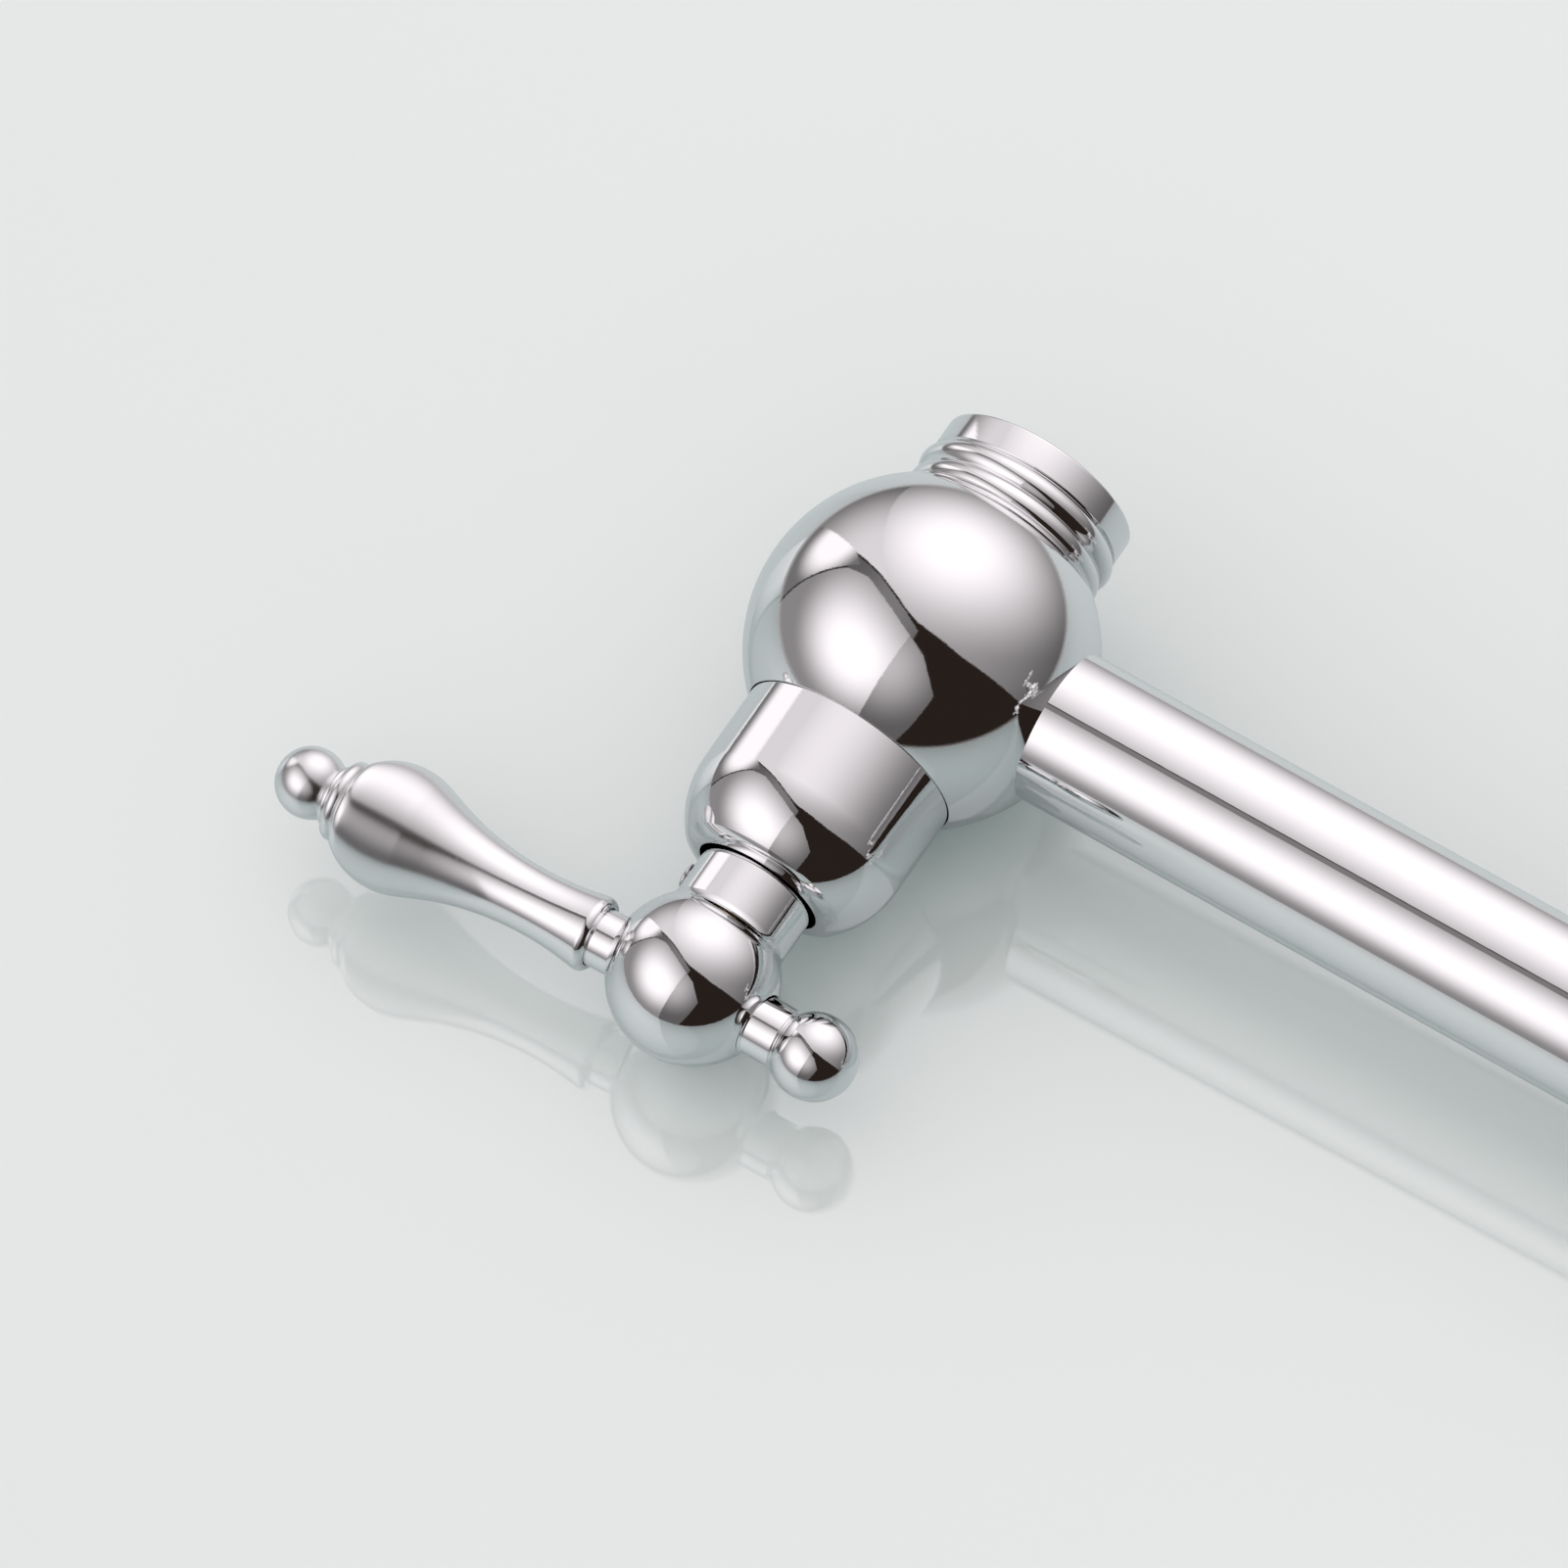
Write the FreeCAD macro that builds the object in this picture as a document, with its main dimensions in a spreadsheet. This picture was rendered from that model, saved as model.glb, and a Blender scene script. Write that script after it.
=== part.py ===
import FreeCAD, Part
import os
import re
import Sketcher

# Wall-mounted pot filler tap in chromed brass, in millimetres, +Z up.
# The origin is the centre of the wall inlet in the wall's surface. The tap stands out along -Y.
# A ball valve body with a lever stands off the wall. Two swinging arms carry a second valve,
# whose ball body has the aerator below and the lever on top. Both arms point along +X at rest.

Vector = FreeCAD.Vector
Rotation = FreeCAD.Rotation
Placement = FreeCAD.Placement

SIZES = (
    ("wall_reach", 62.0, "wall surface to the axis of the wall swivel"),
    ("inner_reach", 220.0, "wall swivel axis to elbow axis"),
    ("outer_reach", 270.0, "elbow axis to outlet axis"),
    ("elbow_rise", 44.0, "height of the outer tube's axis above the inner tube's"),
    ("tube_radius", 11.0, "outside of both arm tubes"),
    ("tube_wall", 1.2, "thickness of the arm tubes"),
    ("tube_insert", 6.9, "how far a tube goes into a ball body"),
    ("tube_seat", 12.8, "knuckle axis to the end of the tube in it"),
    ("solder_gap", 0.05, "round a tube or a stud in its hole"),
    ("thread_gap", 0.1, "round a thread, drawn as a plain cylinder"),
    ("swivel_gap", 0.05, "round a shaft that turns, and at its thrust faces"),
    ("ball_radius", 24.5, "ball body of both valves"),
    ("chamber_radius", 13.0, "water chamber round the cartridge"),
    ("chamber_top", 8.5, "top of the chamber above the ball's centre"),
    ("chamber_drop", 2.0, "bottom of the chamber below the ball's centre"),
    ("port_radius", 7.9, "hole from the chamber to the tube socket"),
    ("seat_depth", 3.5, "sealing seat below the ball's centre"),
    ("seat_bore", 6.0, "water way below the seat"),
    ("thread_radius", 12.0, "thread of the aerator and of the wall shank"),
    ("thread_depth", 6.5, "depth of that thread in the ball body"),
    ("collar_radius", 14.8, "aerator collar"),
    ("collar_base_radius", 14.9, "collar where it leaves the ball"),
    ("bead_groove_radius", 14.6, "bottom of the groove between the beads"),
    ("small_bead_height", 2.6, "bead nearer the ball"),
    ("small_bead_bend", 2.1, "radius of that bead's curve"),
    ("big_bead_height", 3.32, "bead nearer the aerator"),
    ("big_bead_rise", 0.85, "how far that bead stands out"),
    ("bonnet_radius", 15.9, "bell-shaped bonnet"),
    ("bonnet_height", 24.0, "bonnet from its seat to its opening"),
    ("bonnet_straight", 13.35, "straight part of the bonnet"),
    ("bonnet_dome_across", 3.5, "how far the bonnet's shoulder draws in"),
    ("bonnet_dome_rise", 9.42, "height of that shoulder"),
    ("bonnet_wall", 2.0, "thickness of the bonnet's skirt"),
    ("bonnet_lip", 0.9, "thickness of the bonnet at its opening"),
    ("opening_radius", 9.3, "bonnet opening round the hub's neck"),
    ("rim_gap", 0.12, "round the bonnet in its recess in the ball"),
    ("seat_sink", 1.36, "depth of that recess"),
    ("boss_height", 8.0, "threaded boss inside the bonnet"),
    ("cartridge_radius", 9.0, "valve cartridge"),
    ("cavity_radius", 7.3, "space for the discs in the cartridge"),
    ("hex_radius", 12.0, "corners of the cartridge's hexagon"),
    ("hex_height", 5.0, "cartridge's hexagon"),
    ("gland_radius", 7.0, "cartridge above its hexagon"),
    ("gland_gap", 0.5, "between the cartridge and the hub's neck"),
    ("ring_section", 0.65, "half the thickness of the sealing rings"),
    ("disc_height", 3.0, "each ceramic disc"),
    ("disc_port", 1.7, "hole in a ceramic disc"),
    ("spindle_radius", 3.9, "valve spindle"),
    ("spindle_foot", 6.6, "disc at the spindle's foot"),
    ("spindle_foot_height", 2.4, "disc at the spindle's foot"),
    ("neck_radius", 8.6, "neck of the lever hub"),
    ("neck_show", 7.5, "neck that shows above the bonnet"),
    ("neck_sink", 3.0, "neck inside the bonnet"),
    ("hub_radius", 11.9, "ball of the lever hub"),
    ("spindle_bite", 5.0, "hub centre to the top of the spindle"),
    ("screw_radius", 1.45, "screw that locks the hub to the spindle"),
    ("screw_head", 2.0, "its plug"),
    ("screw_proud", 0.6, "how far the plug stands out"),
    ("lever_lift", 1.1, "lever's axis above the hub's centre"),
    ("lever_tilt", 1.8, "rise of the lever in degrees"),
    ("lever_length", 60.4, "hub axis to the centre of the lever's end ball"),
    ("seat_flat", 0.5, "depth of the flats on the hub"),
    ("stud_radius", 2.5, "stud through the hub"),
    ("stud_bite", 7.5, "stud inside the handle and the knob"),
    ("ferrule_radius", 4.2, "ferrule between hub and handle"),
    ("sleeve_start", 14.1, "hub axis to the handle's hollow end"),
    ("sleeve_lip_radius", 4.95, "handle at its opening"),
    ("sleeve_lip_length", 1.4, "rounded lip at the opening"),
    ("sleeve_lip_bend", 1.43, "radius of that lip's curve"),
    ("sleeve_radius", 5.47, "handle behind the lip"),
    ("sleeve_depth", 3.4, "depth of the hollow"),
    ("waist_sag", 0.73, "how much the handle's waist draws in"),
    ("flare_start_radius", 5.21, "handle where its flare begins"),
    ("flare_end_radius", 7.16, "handle where its flare ends"),
    ("flare_bend", 41.0, "radius of the flare's curve"),
    ("shoulder_radius", 8.39, "handle where its belly begins"),
    ("belly_radius", 9.05, "handle at its widest"),
    ("vase_end_radius", 6.55, "handle beside its rings"),
    ("flare_start_setback", 28.4, "start of the flare before the end ball's centre"),
    ("flare_end_setback", 20.9, "end of the flare before it"),
    ("shoulder_setback", 17.6, "start of the belly before it"),
    ("belly_setback", 13.8, "widest place before it"),
    ("vase_end_setback", 7.0, "rings before it"),
    ("thin_ring_radius", 6.1, "thin ring beside the handle's belly"),
    ("thin_ring_height", 0.32, "thin ring"),
    ("large_ring_radius", 5.1, "foot of the large ring on the handle"),
    ("large_ring_height", 2.05, "large ring"),
    ("small_ring_radius", 3.95, "foot of the small ring on the handle"),
    ("small_ring_height", 1.15, "small ring"),
    ("end_neck_radius", 3.75, "neck between the rings and the end ball"),
    ("end_ball_radius", 5.06, "lever's end ball"),
    ("knob_radius", 6.07, "counter knob"),
    ("knob_reach", 20.1, "hub axis to the knob's centre"),
    ("knob_ring_height", 0.45, "fine ring at the knob's base"),
    ("knob_stem_radius", 4.33, "stem of the knob"),
    ("knob_stem_length", 4.35, "stem of the knob"),
    ("knob_groove_radius", 4.0, "groove between stem and knob"),
    ("aerator_height", 4.7, "collar of the aerator below the beads"),
    ("aerator_edge", 0.4, "rounded edge of the aerator's collar"),
    ("aerator_bore", 10.6, "inside of the aerator's housing"),
    ("aerator_lip", 9.6, "opening of the aerator's housing"),
    ("aerator_lip_height", 1.0, "lip that holds the insert"),
    ("insert_wall", 1.1, "wall of the aerator's insert"),
    ("insert_floor", 2.0, "floor of the insert"),
    ("jet_radius", 0.75, "holes in the insert's floor"),
    ("jet_pitch", 2.4, "distance between rings of holes"),
    ("gauze_height", 0.4, "gauze disc above the insert's floor"),
    ("gauze_rise", 3.0, "gauze above the insert's floor"),
    ("washer_height", 1.0, "flat washers"),
    ("washer_bore", 8.0, "hole of the shank's and the aerator's washers"),
    ("knuckle_height", 26.0, "swivel knuckle"),
    ("knuckle_end_radius", 13.9, "knuckle beside its beads"),
    ("knuckle_belly_radius", 16.6, "knuckle at its middle"),
    ("knuckle_bead_height", 2.4, "bead at each end of a knuckle"),
    ("knuckle_land", 7.0, "plain bore at each end of a knuckle"),
    ("knuckle_chamber", 11.2, "water chamber in a knuckle"),
    ("post_radius", 8.5, "swivel post"),
    ("post_bore", 5.5, "water way in the post"),
    ("post_window", 3.0, "side holes of the post"),
    ("post_rise", 3.5, "swivel shoulder above the ball"),
    ("post_bead_radius", 13.0, "foot of the beads on the posts"),
    ("post_spigot", 9.0, "lower end of the elbow's post"),
    ("spigot_length", 7.0, "that end inside the elbow"),
    ("column_radius", 10.6, "elbow column at its waist"),
    ("ring_inset", 5.0, "sealing ring from the knuckle's end"),
    ("cap_stud_radius", 6.0, "threaded stud under a cap"),
    ("cap_stud_length", 5.0, "that stud"),
    ("cap_radius", 13.0, "foot of the cap's bead"),
    ("cap_bead_height", 2.0, "cap's bead"),
    ("cap_dome_height", 5.0, "cap's dome"),
    ("finial_neck_radius", 2.3, "neck of the cap's finial"),
    ("finial_radius", 3.2, "ball of the cap's finial"),
    ("shank_radius", 13.0, "shank between the wall and the ball"),
    ("shank_bore", 8.0, "water way in the shank"),
    ("nipple_radius", 10.48, "half-inch pipe thread of the inlet"),
    ("nipple_bore", 6.5, "water way in the nipple"),
    ("nipple_back", 16.0, "nipple behind the wall's surface"),
    ("nipple_insert", 15.5, "nipple inside the shank"),
    ("nipple_relief_radius", 9.6, "groove between the nipple's two threads"),
    ("nipple_relief_width", 2.5, "that groove"),
    ("nipple_key", 8.0, "corners of the hexagon socket in the nipple"),
    ("nipple_key_depth", 8.0, "depth of that socket"),
    ("inlet_washer_height", 1.5, "washer at the nipple's end"),
    ("flange_radius", 30.0, "wall flange"),
    ("flange_edge", 2.5, "flange's edge at the wall"),
    ("flange_height", 16.0, "flange from the wall"),
    ("flange_neck_radius", 16.4, "flange's neck"),
    ("flange_neck_height", 5.5, "flange's neck"),
    ("flange_wall", 2.2, "thickness of the flange"),
    ("gasket_width", 4.0, "gasket behind the flange"),
    ("gasket_height", 2.0, "gasket behind the flange"),
    ("setscrew_radius", 2.0, "screw that holds the flange on the shank"),
    ("setscrew_socket", 1.15, "corners of that screw's hexagon socket"),
)

doc = FreeCAD.newDocument("wall_mounted_tap")
sheet = doc.addObject("Spreadsheet::Sheet", "Sizes")
for row, (alias, value, meaning) in enumerate(SIZES, start=1):
    sheet.set("A%d" % row, meaning)
    sheet.set("B%d" % row, str(value))
    sheet.setAlias("B%d" % row, alias)
doc.recompute()

NAMES = {alias for alias, value, meaning in SIZES}
nodes = []


def bind(text):
    """The expression with each name of a size turned into a reference to its cell."""
    return re.sub(r"[a-z][a-z_]*", lambda found: "Sizes." + found[0] if found[0] in NAMES else found[0], text)


def mm(text):
    """The value of an expression."""
    return float(sheet.evalExpression(bind(text)))


def upright_arc(across, along):
    """Radius of an arc that starts along the turning axis and ends so far across and along."""
    return "((%s)^2 + (%s)^2) / (2 * (%s))" % (across, along, across)


def bead_arc(height):
    """Radius of a bead's arc, a little over half its height."""
    return "0.52 * " + height


def turned(name, outline):
    """A body turned from a closed outline, given anticlockwise as (radius, height) points.

    A point may add "out" or "in" and a radius: its line to the next point is then an arc that
    bulges out of the metal or hollows it.
    """
    body = doc.addObject("PartDesign::Body", name)
    sketch = body.newObject("Sketcher::SketchObject", name + "_outline")
    plane = [item for item in body.Origin.OriginFeatures if item.Role == "XZ_Plane"][0]
    sketch.AttachmentSupport = [(plane, "")]
    sketch.MapMode = "FlatFace"
    points = [Vector(mm(point[0]), mm(point[1]), 0) for point in outline]
    starts = []
    ends = []
    for index, point in enumerate(outline):
        here = points[index]
        there = points[(index + 1) % len(points)]
        if len(point) == 2:
            sketch.addGeometry(Part.LineSegment(here, there), False)
            starts.append((index, 1))
            ends.append((index, 2))
            continue
        half = (there - here) * 0.5
        radius = mm(point[3])
        left = Vector(-half.y, half.x, 0).normalize()
        side = 1 if point[2] == "out" else -1
        centre = here + half + left * side * (radius ** 2 - half.Length ** 2) ** 0.5
        first, last = (here, there) if side == 1 else (there, here)
        circle = Part.Circle(centre, Vector(0, 0, 1), radius)
        arc = Part.ArcOfCircle(circle, circle.parameter(first), circle.parameter(last))
        sketch.addGeometry(arc, False)
        starts.append((index, 1 if side == 1 else 2))
        ends.append((index, 2 if side == 1 else 1))
        number = sketch.addConstraint(Sketcher.Constraint("Radius", index, radius))
        sketch.setExpression("Constraints[%d]" % number, bind(point[3]))
    for index, point in enumerate(outline):
        following = starts[(index + 1) % len(starts)]
        sketch.addConstraint(Sketcher.Constraint("Coincident", *ends[index], *following))
        for kind, axis, text in (("DistanceX", -2, point[0]), ("DistanceY", -1, point[1])):
            if text == "0":
                sketch.addConstraint(Sketcher.Constraint("PointOnObject", *starts[index], axis))
                continue
            number = sketch.addConstraint(Sketcher.Constraint(kind, -1, 1, *starts[index], mm(text)))
            sketch.setExpression("Constraints[%d]" % number, bind(text))
    turn = body.newObject("PartDesign::Revolution", name + "_turn")
    turn.Profile = sketch
    turn.ReferenceAxis = (sketch, ["V_Axis"])
    turn.Angle = 360
    sketch.Visibility = False
    return body


def rod(name, radius, start, end, place=None):
    """A cylinder along its own Z axis between two heights, then placed."""
    cylinder = doc.addObject("Part::Cylinder", name)
    cylinder.setExpression("Radius", bind(radius))
    cylinder.setExpression("Height", bind("(%s) - (%s)" % (end, start)))
    lift = Placement(Vector(0, 0, mm(start)), Rotation())
    cylinder.Placement = (place or Placement()).multiply(lift)
    return cylinder


def hexagon(name, corner, start, end, place=None):
    """A six-sided prism along its own Z axis between two heights, then placed."""
    prism = doc.addObject("Part::Prism", name)
    prism.Polygon = 6
    prism.setExpression("Circumradius", bind(corner))
    prism.setExpression("Height", bind("(%s) - (%s)" % (end, start)))
    lift = Placement(Vector(0, 0, mm(start)), Rotation())
    prism.Placement = (place or Placement()).multiply(lift)
    return prism


def joined(name, pieces):
    """The union of several objects."""
    union = doc.addObject("Part::MultiFuse", name)
    union.Shapes = pieces
    return union


def cut(name, base, tools):
    """The base with the tools taken out of it."""
    result = doc.addObject("Part::Cut", name)
    result.Base = base
    result.Tool = tools[0] if len(tools) == 1 else joined(name + "_tools", tools)
    return result


def node(name, shape, place=None):
    """Names an object as one piece of the tap and puts it in its place."""
    shape.Label = name
    shape.Placement = place or Placement()
    nodes.append(shape)


def along_x(sign):
    """Turns a piece's Z axis to +X or -X."""
    return Placement(Vector(0, 0, 0), Rotation(Vector(0, 1, 0), 90 * sign))


def lifted(height):
    """A place straight above the origin."""
    return Placement(Vector(0, 0, mm(height)), Rotation())


# Heights in a valve's own frame: the ball's centre is the origin and the spindle points along +Z
collar_join = "sqrt(ball_radius^2 - collar_base_radius^2)"
small_bead_end = "(%s + small_bead_height)" % collar_join
collar_face = "(%s + big_bead_height)" % small_bead_end
thread_floor = "(%s - thread_depth)" % collar_face
thread_end = "(%s + washer_height)" % thread_floor
recess_radius = "(bonnet_radius + rim_gap)"
recess_top = "sqrt(ball_radius^2 - %s^2)" % recess_radius
bonnet_seat = "(%s - seat_sink)" % recess_top
bonnet_top = "(%s + bonnet_height)" % bonnet_seat
boss_radius = "(bonnet_radius - bonnet_wall - thread_gap)"
boss_top = "(%s + boss_height)" % bonnet_seat
neck_bottom = "(%s - neck_sink)" % bonnet_top
neck_top = "(%s + neck_show)" % bonnet_top
hub_height = "(%s + sqrt(hub_radius^2 - neck_radius^2))" % neck_top
spindle_top = "(%s - spindle_bite)" % hub_height
tube_floor = "(sqrt(ball_radius^2 - tube_radius^2) - tube_insert)"

# Heights along the posts, above their swivel shoulder
knuckle_foot = "(washer_height + swivel_gap)"
knuckle_top = "(%s + knuckle_height)" % knuckle_foot
post_top = "(%s + swivel_gap + washer_height)" % knuckle_top

# Heights of the arms above the wall valve's centre
wall_shoulder = "(ball_radius + post_rise)"
inner_height = "(%s + %s + knuckle_height / 2)" % (wall_shoulder, knuckle_foot)
outer_height = "(%s + elbow_rise)" % inner_height
column_height = "(elbow_rise - knuckle_height - %s)" % knuckle_foot

wall_valve = Placement(
    Vector(0, -mm("wall_reach"), 0),
    Rotation(Vector(0, 0, -1), Vector(1, 0, 0), Vector(0, -1, 0), "XYZ"),
)
outlet_valve = Placement(
    Vector(mm("inner_reach + outer_reach"), -mm("wall_reach"), mm(outer_height)), Rotation()
)
wall_post_place = Placement(Vector(0, -mm("wall_reach"), mm(wall_shoulder)), Rotation())
elbow_place = Placement(
    Vector(mm("inner_reach"), -mm("wall_reach"), mm("%s - knuckle_height / 2" % inner_height)), Rotation()
)
elbow_shoulder = "(%s - %s - knuckle_height / 2)" % (outer_height, knuckle_foot)
elbow_post_place = Placement(Vector(mm("inner_reach"), -mm("wall_reach"), mm(elbow_shoulder)), Rotation())


def ball_body(name, place):
    """Cast ball: beads and a thread below, a boss for the bonnet above, a tube socket towards -X."""
    big_bead_bend = upright_arc("big_bead_rise", "big_bead_height / 2")
    outline = [
        ("thread_radius + thread_gap", "-" + collar_face),
        ("bead_groove_radius", "-" + collar_face, "out", big_bead_bend),
        ("bead_groove_radius", "-" + small_bead_end, "out", "small_bead_bend"),
        ("collar_base_radius", "-" + collar_join, "out", "ball_radius"),
        (recess_radius, recess_top),
        (recess_radius, bonnet_seat),
        (boss_radius, bonnet_seat),
        (boss_radius, boss_top),
        ("cartridge_radius + thread_gap", boss_top),
        ("cartridge_radius + thread_gap", "chamber_top"),
        ("chamber_radius", "chamber_top"),
        ("chamber_radius", "-chamber_drop"),
        ("cartridge_radius + thread_gap", "-chamber_drop"),
        ("cartridge_radius + thread_gap", "-seat_depth"),
        ("seat_bore", "-seat_depth"),
        ("seat_bore", "-" + thread_floor),
        ("thread_radius + thread_gap", "-" + thread_floor),
    ]
    casting = turned(name + "_casting", outline)
    socket = rod(name + "_socket", "tube_radius + solder_gap", tube_floor, "2 * ball_radius", along_x(-1))
    port = rod(name + "_port", "port_radius", "chamber_radius - 1", tube_floor + " + 1", along_x(-1))
    node(name, cut(name + "_cut", casting, [socket, port]), place)


def bonnet(name, place):
    """Bell that screws on the boss and hides the cartridge, open round the hub's neck."""
    lip_across = "(bonnet_radius - bonnet_dome_across - opening_radius)"
    lip_rise = "(bonnet_height - bonnet_straight - bonnet_dome_rise)"
    skirt_top = "%s + bonnet_straight" % bonnet_seat
    dome_top = skirt_top + " + bonnet_dome_rise"
    outline = [
        ("bonnet_radius - bonnet_wall", bonnet_seat),
        ("bonnet_radius", bonnet_seat),
        ("bonnet_radius", skirt_top, "out", upright_arc("bonnet_dome_across", "bonnet_dome_rise")),
        ("bonnet_radius - bonnet_dome_across", dome_top, "out", upright_arc(lip_rise, lip_across)),
        ("opening_radius", bonnet_top),
        ("opening_radius", bonnet_top + " - bonnet_lip"),
        ("bonnet_radius - bonnet_wall", skirt_top + " + bonnet_wall"),
    ]
    node(name, turned(name + "_bell", outline), place)


def cartridge(prefix, place):
    """Brass headwork with its sealing ring, seat seal and fixed ceramic disc."""
    ring_height = "(%s - boss_height / 2)" % bonnet_seat
    groove_floor = "(cartridge_radius + thread_gap - 2 * ring_section)"
    outline = [
        ("0", "-seat_depth + solder_gap"),
        ("cartridge_radius", "-seat_depth + solder_gap"),
        ("cartridge_radius", ring_height + " - 1.2 * ring_section"),
        (groove_floor, ring_height + " - 1.2 * ring_section"),
        (groove_floor, ring_height + " + 1.2 * ring_section"),
        ("cartridge_radius", ring_height + " + 1.2 * ring_section"),
        ("cartridge_radius", boss_top),
        ("gland_radius", boss_top),
        ("gland_radius", neck_bottom + " - gland_gap"),
        ("0", neck_bottom + " - gland_gap"),
    ]
    outside = turned(prefix + "_cartridge_outside", outline)
    hexagon_part = hexagon(prefix + "_cartridge_hexagon", "hex_radius", boss_top, boss_top + " + hex_height")
    foot_space = "(2 * disc_height + 2 * swivel_gap + spindle_foot_height)"
    cavity = rod(prefix + "_cartridge_cavity", "cavity_radius", "-seat_depth", foot_space)
    bore = rod(prefix + "_cartridge_bore", "spindle_radius + swivel_gap", "0", bonnet_top)
    sideways = Placement(Vector(0, 0, mm("2 * disc_height")), Rotation(Vector(1, 0, 0), 90))
    windows = rod(prefix + "_cartridge_windows", "disc_port", "-chamber_radius", "chamber_radius", sideways)
    blank = joined(prefix + "_cartridge_blank", [outside, hexagon_part])
    node(prefix + "_cartridge", cut(prefix + "_cartridge_cut", blank, [cavity, bore, windows]), place)

    ring = doc.addObject("Part::Torus", prefix + "_cartridge_ring_torus")
    ring.setExpression("Radius1", bind("cartridge_radius + thread_gap - ring_section"))
    ring.setExpression("Radius2", bind("ring_section"))
    node(prefix + "_cartridge_ring", ring, place.multiply(lifted(ring_height)))

    seal = rod(prefix + "_seal_blank", "cavity_radius - thread_gap", "-seat_depth", "0")
    seal_bore = "cavity_radius - 3 * thread_gap - disc_height"
    seal_hole = rod(prefix + "_seal_hole", seal_bore, "-2 * seat_depth", "1")
    node(prefix + "_seat_seal", cut(prefix + "_seal_cut", seal, [seal_hole]), place)

    node(prefix + "_fixed_disc", ceramic_disc(prefix + "_fixed", "0", 0), place)


def ceramic_disc(name, start, turn):
    """Disc with two ports, which another disc covers or opens as it turns."""
    end = start + " + disc_height"
    disc = rod(name + "_disc_blank", "cavity_radius - thread_gap", start, end)
    ports = []
    for side in (-1, 1):
        spot = Rotation(Vector(0, 0, 1), turn).multVec(Vector(side * mm("cavity_radius / 2"), 0, 0))
        where = Placement(spot, Rotation())
        ports.append(rod(name + "_disc_port", "disc_port", start + " - 1", end + " + 1", where))
    return cut(name + "_disc_cut", disc, ports)


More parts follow.
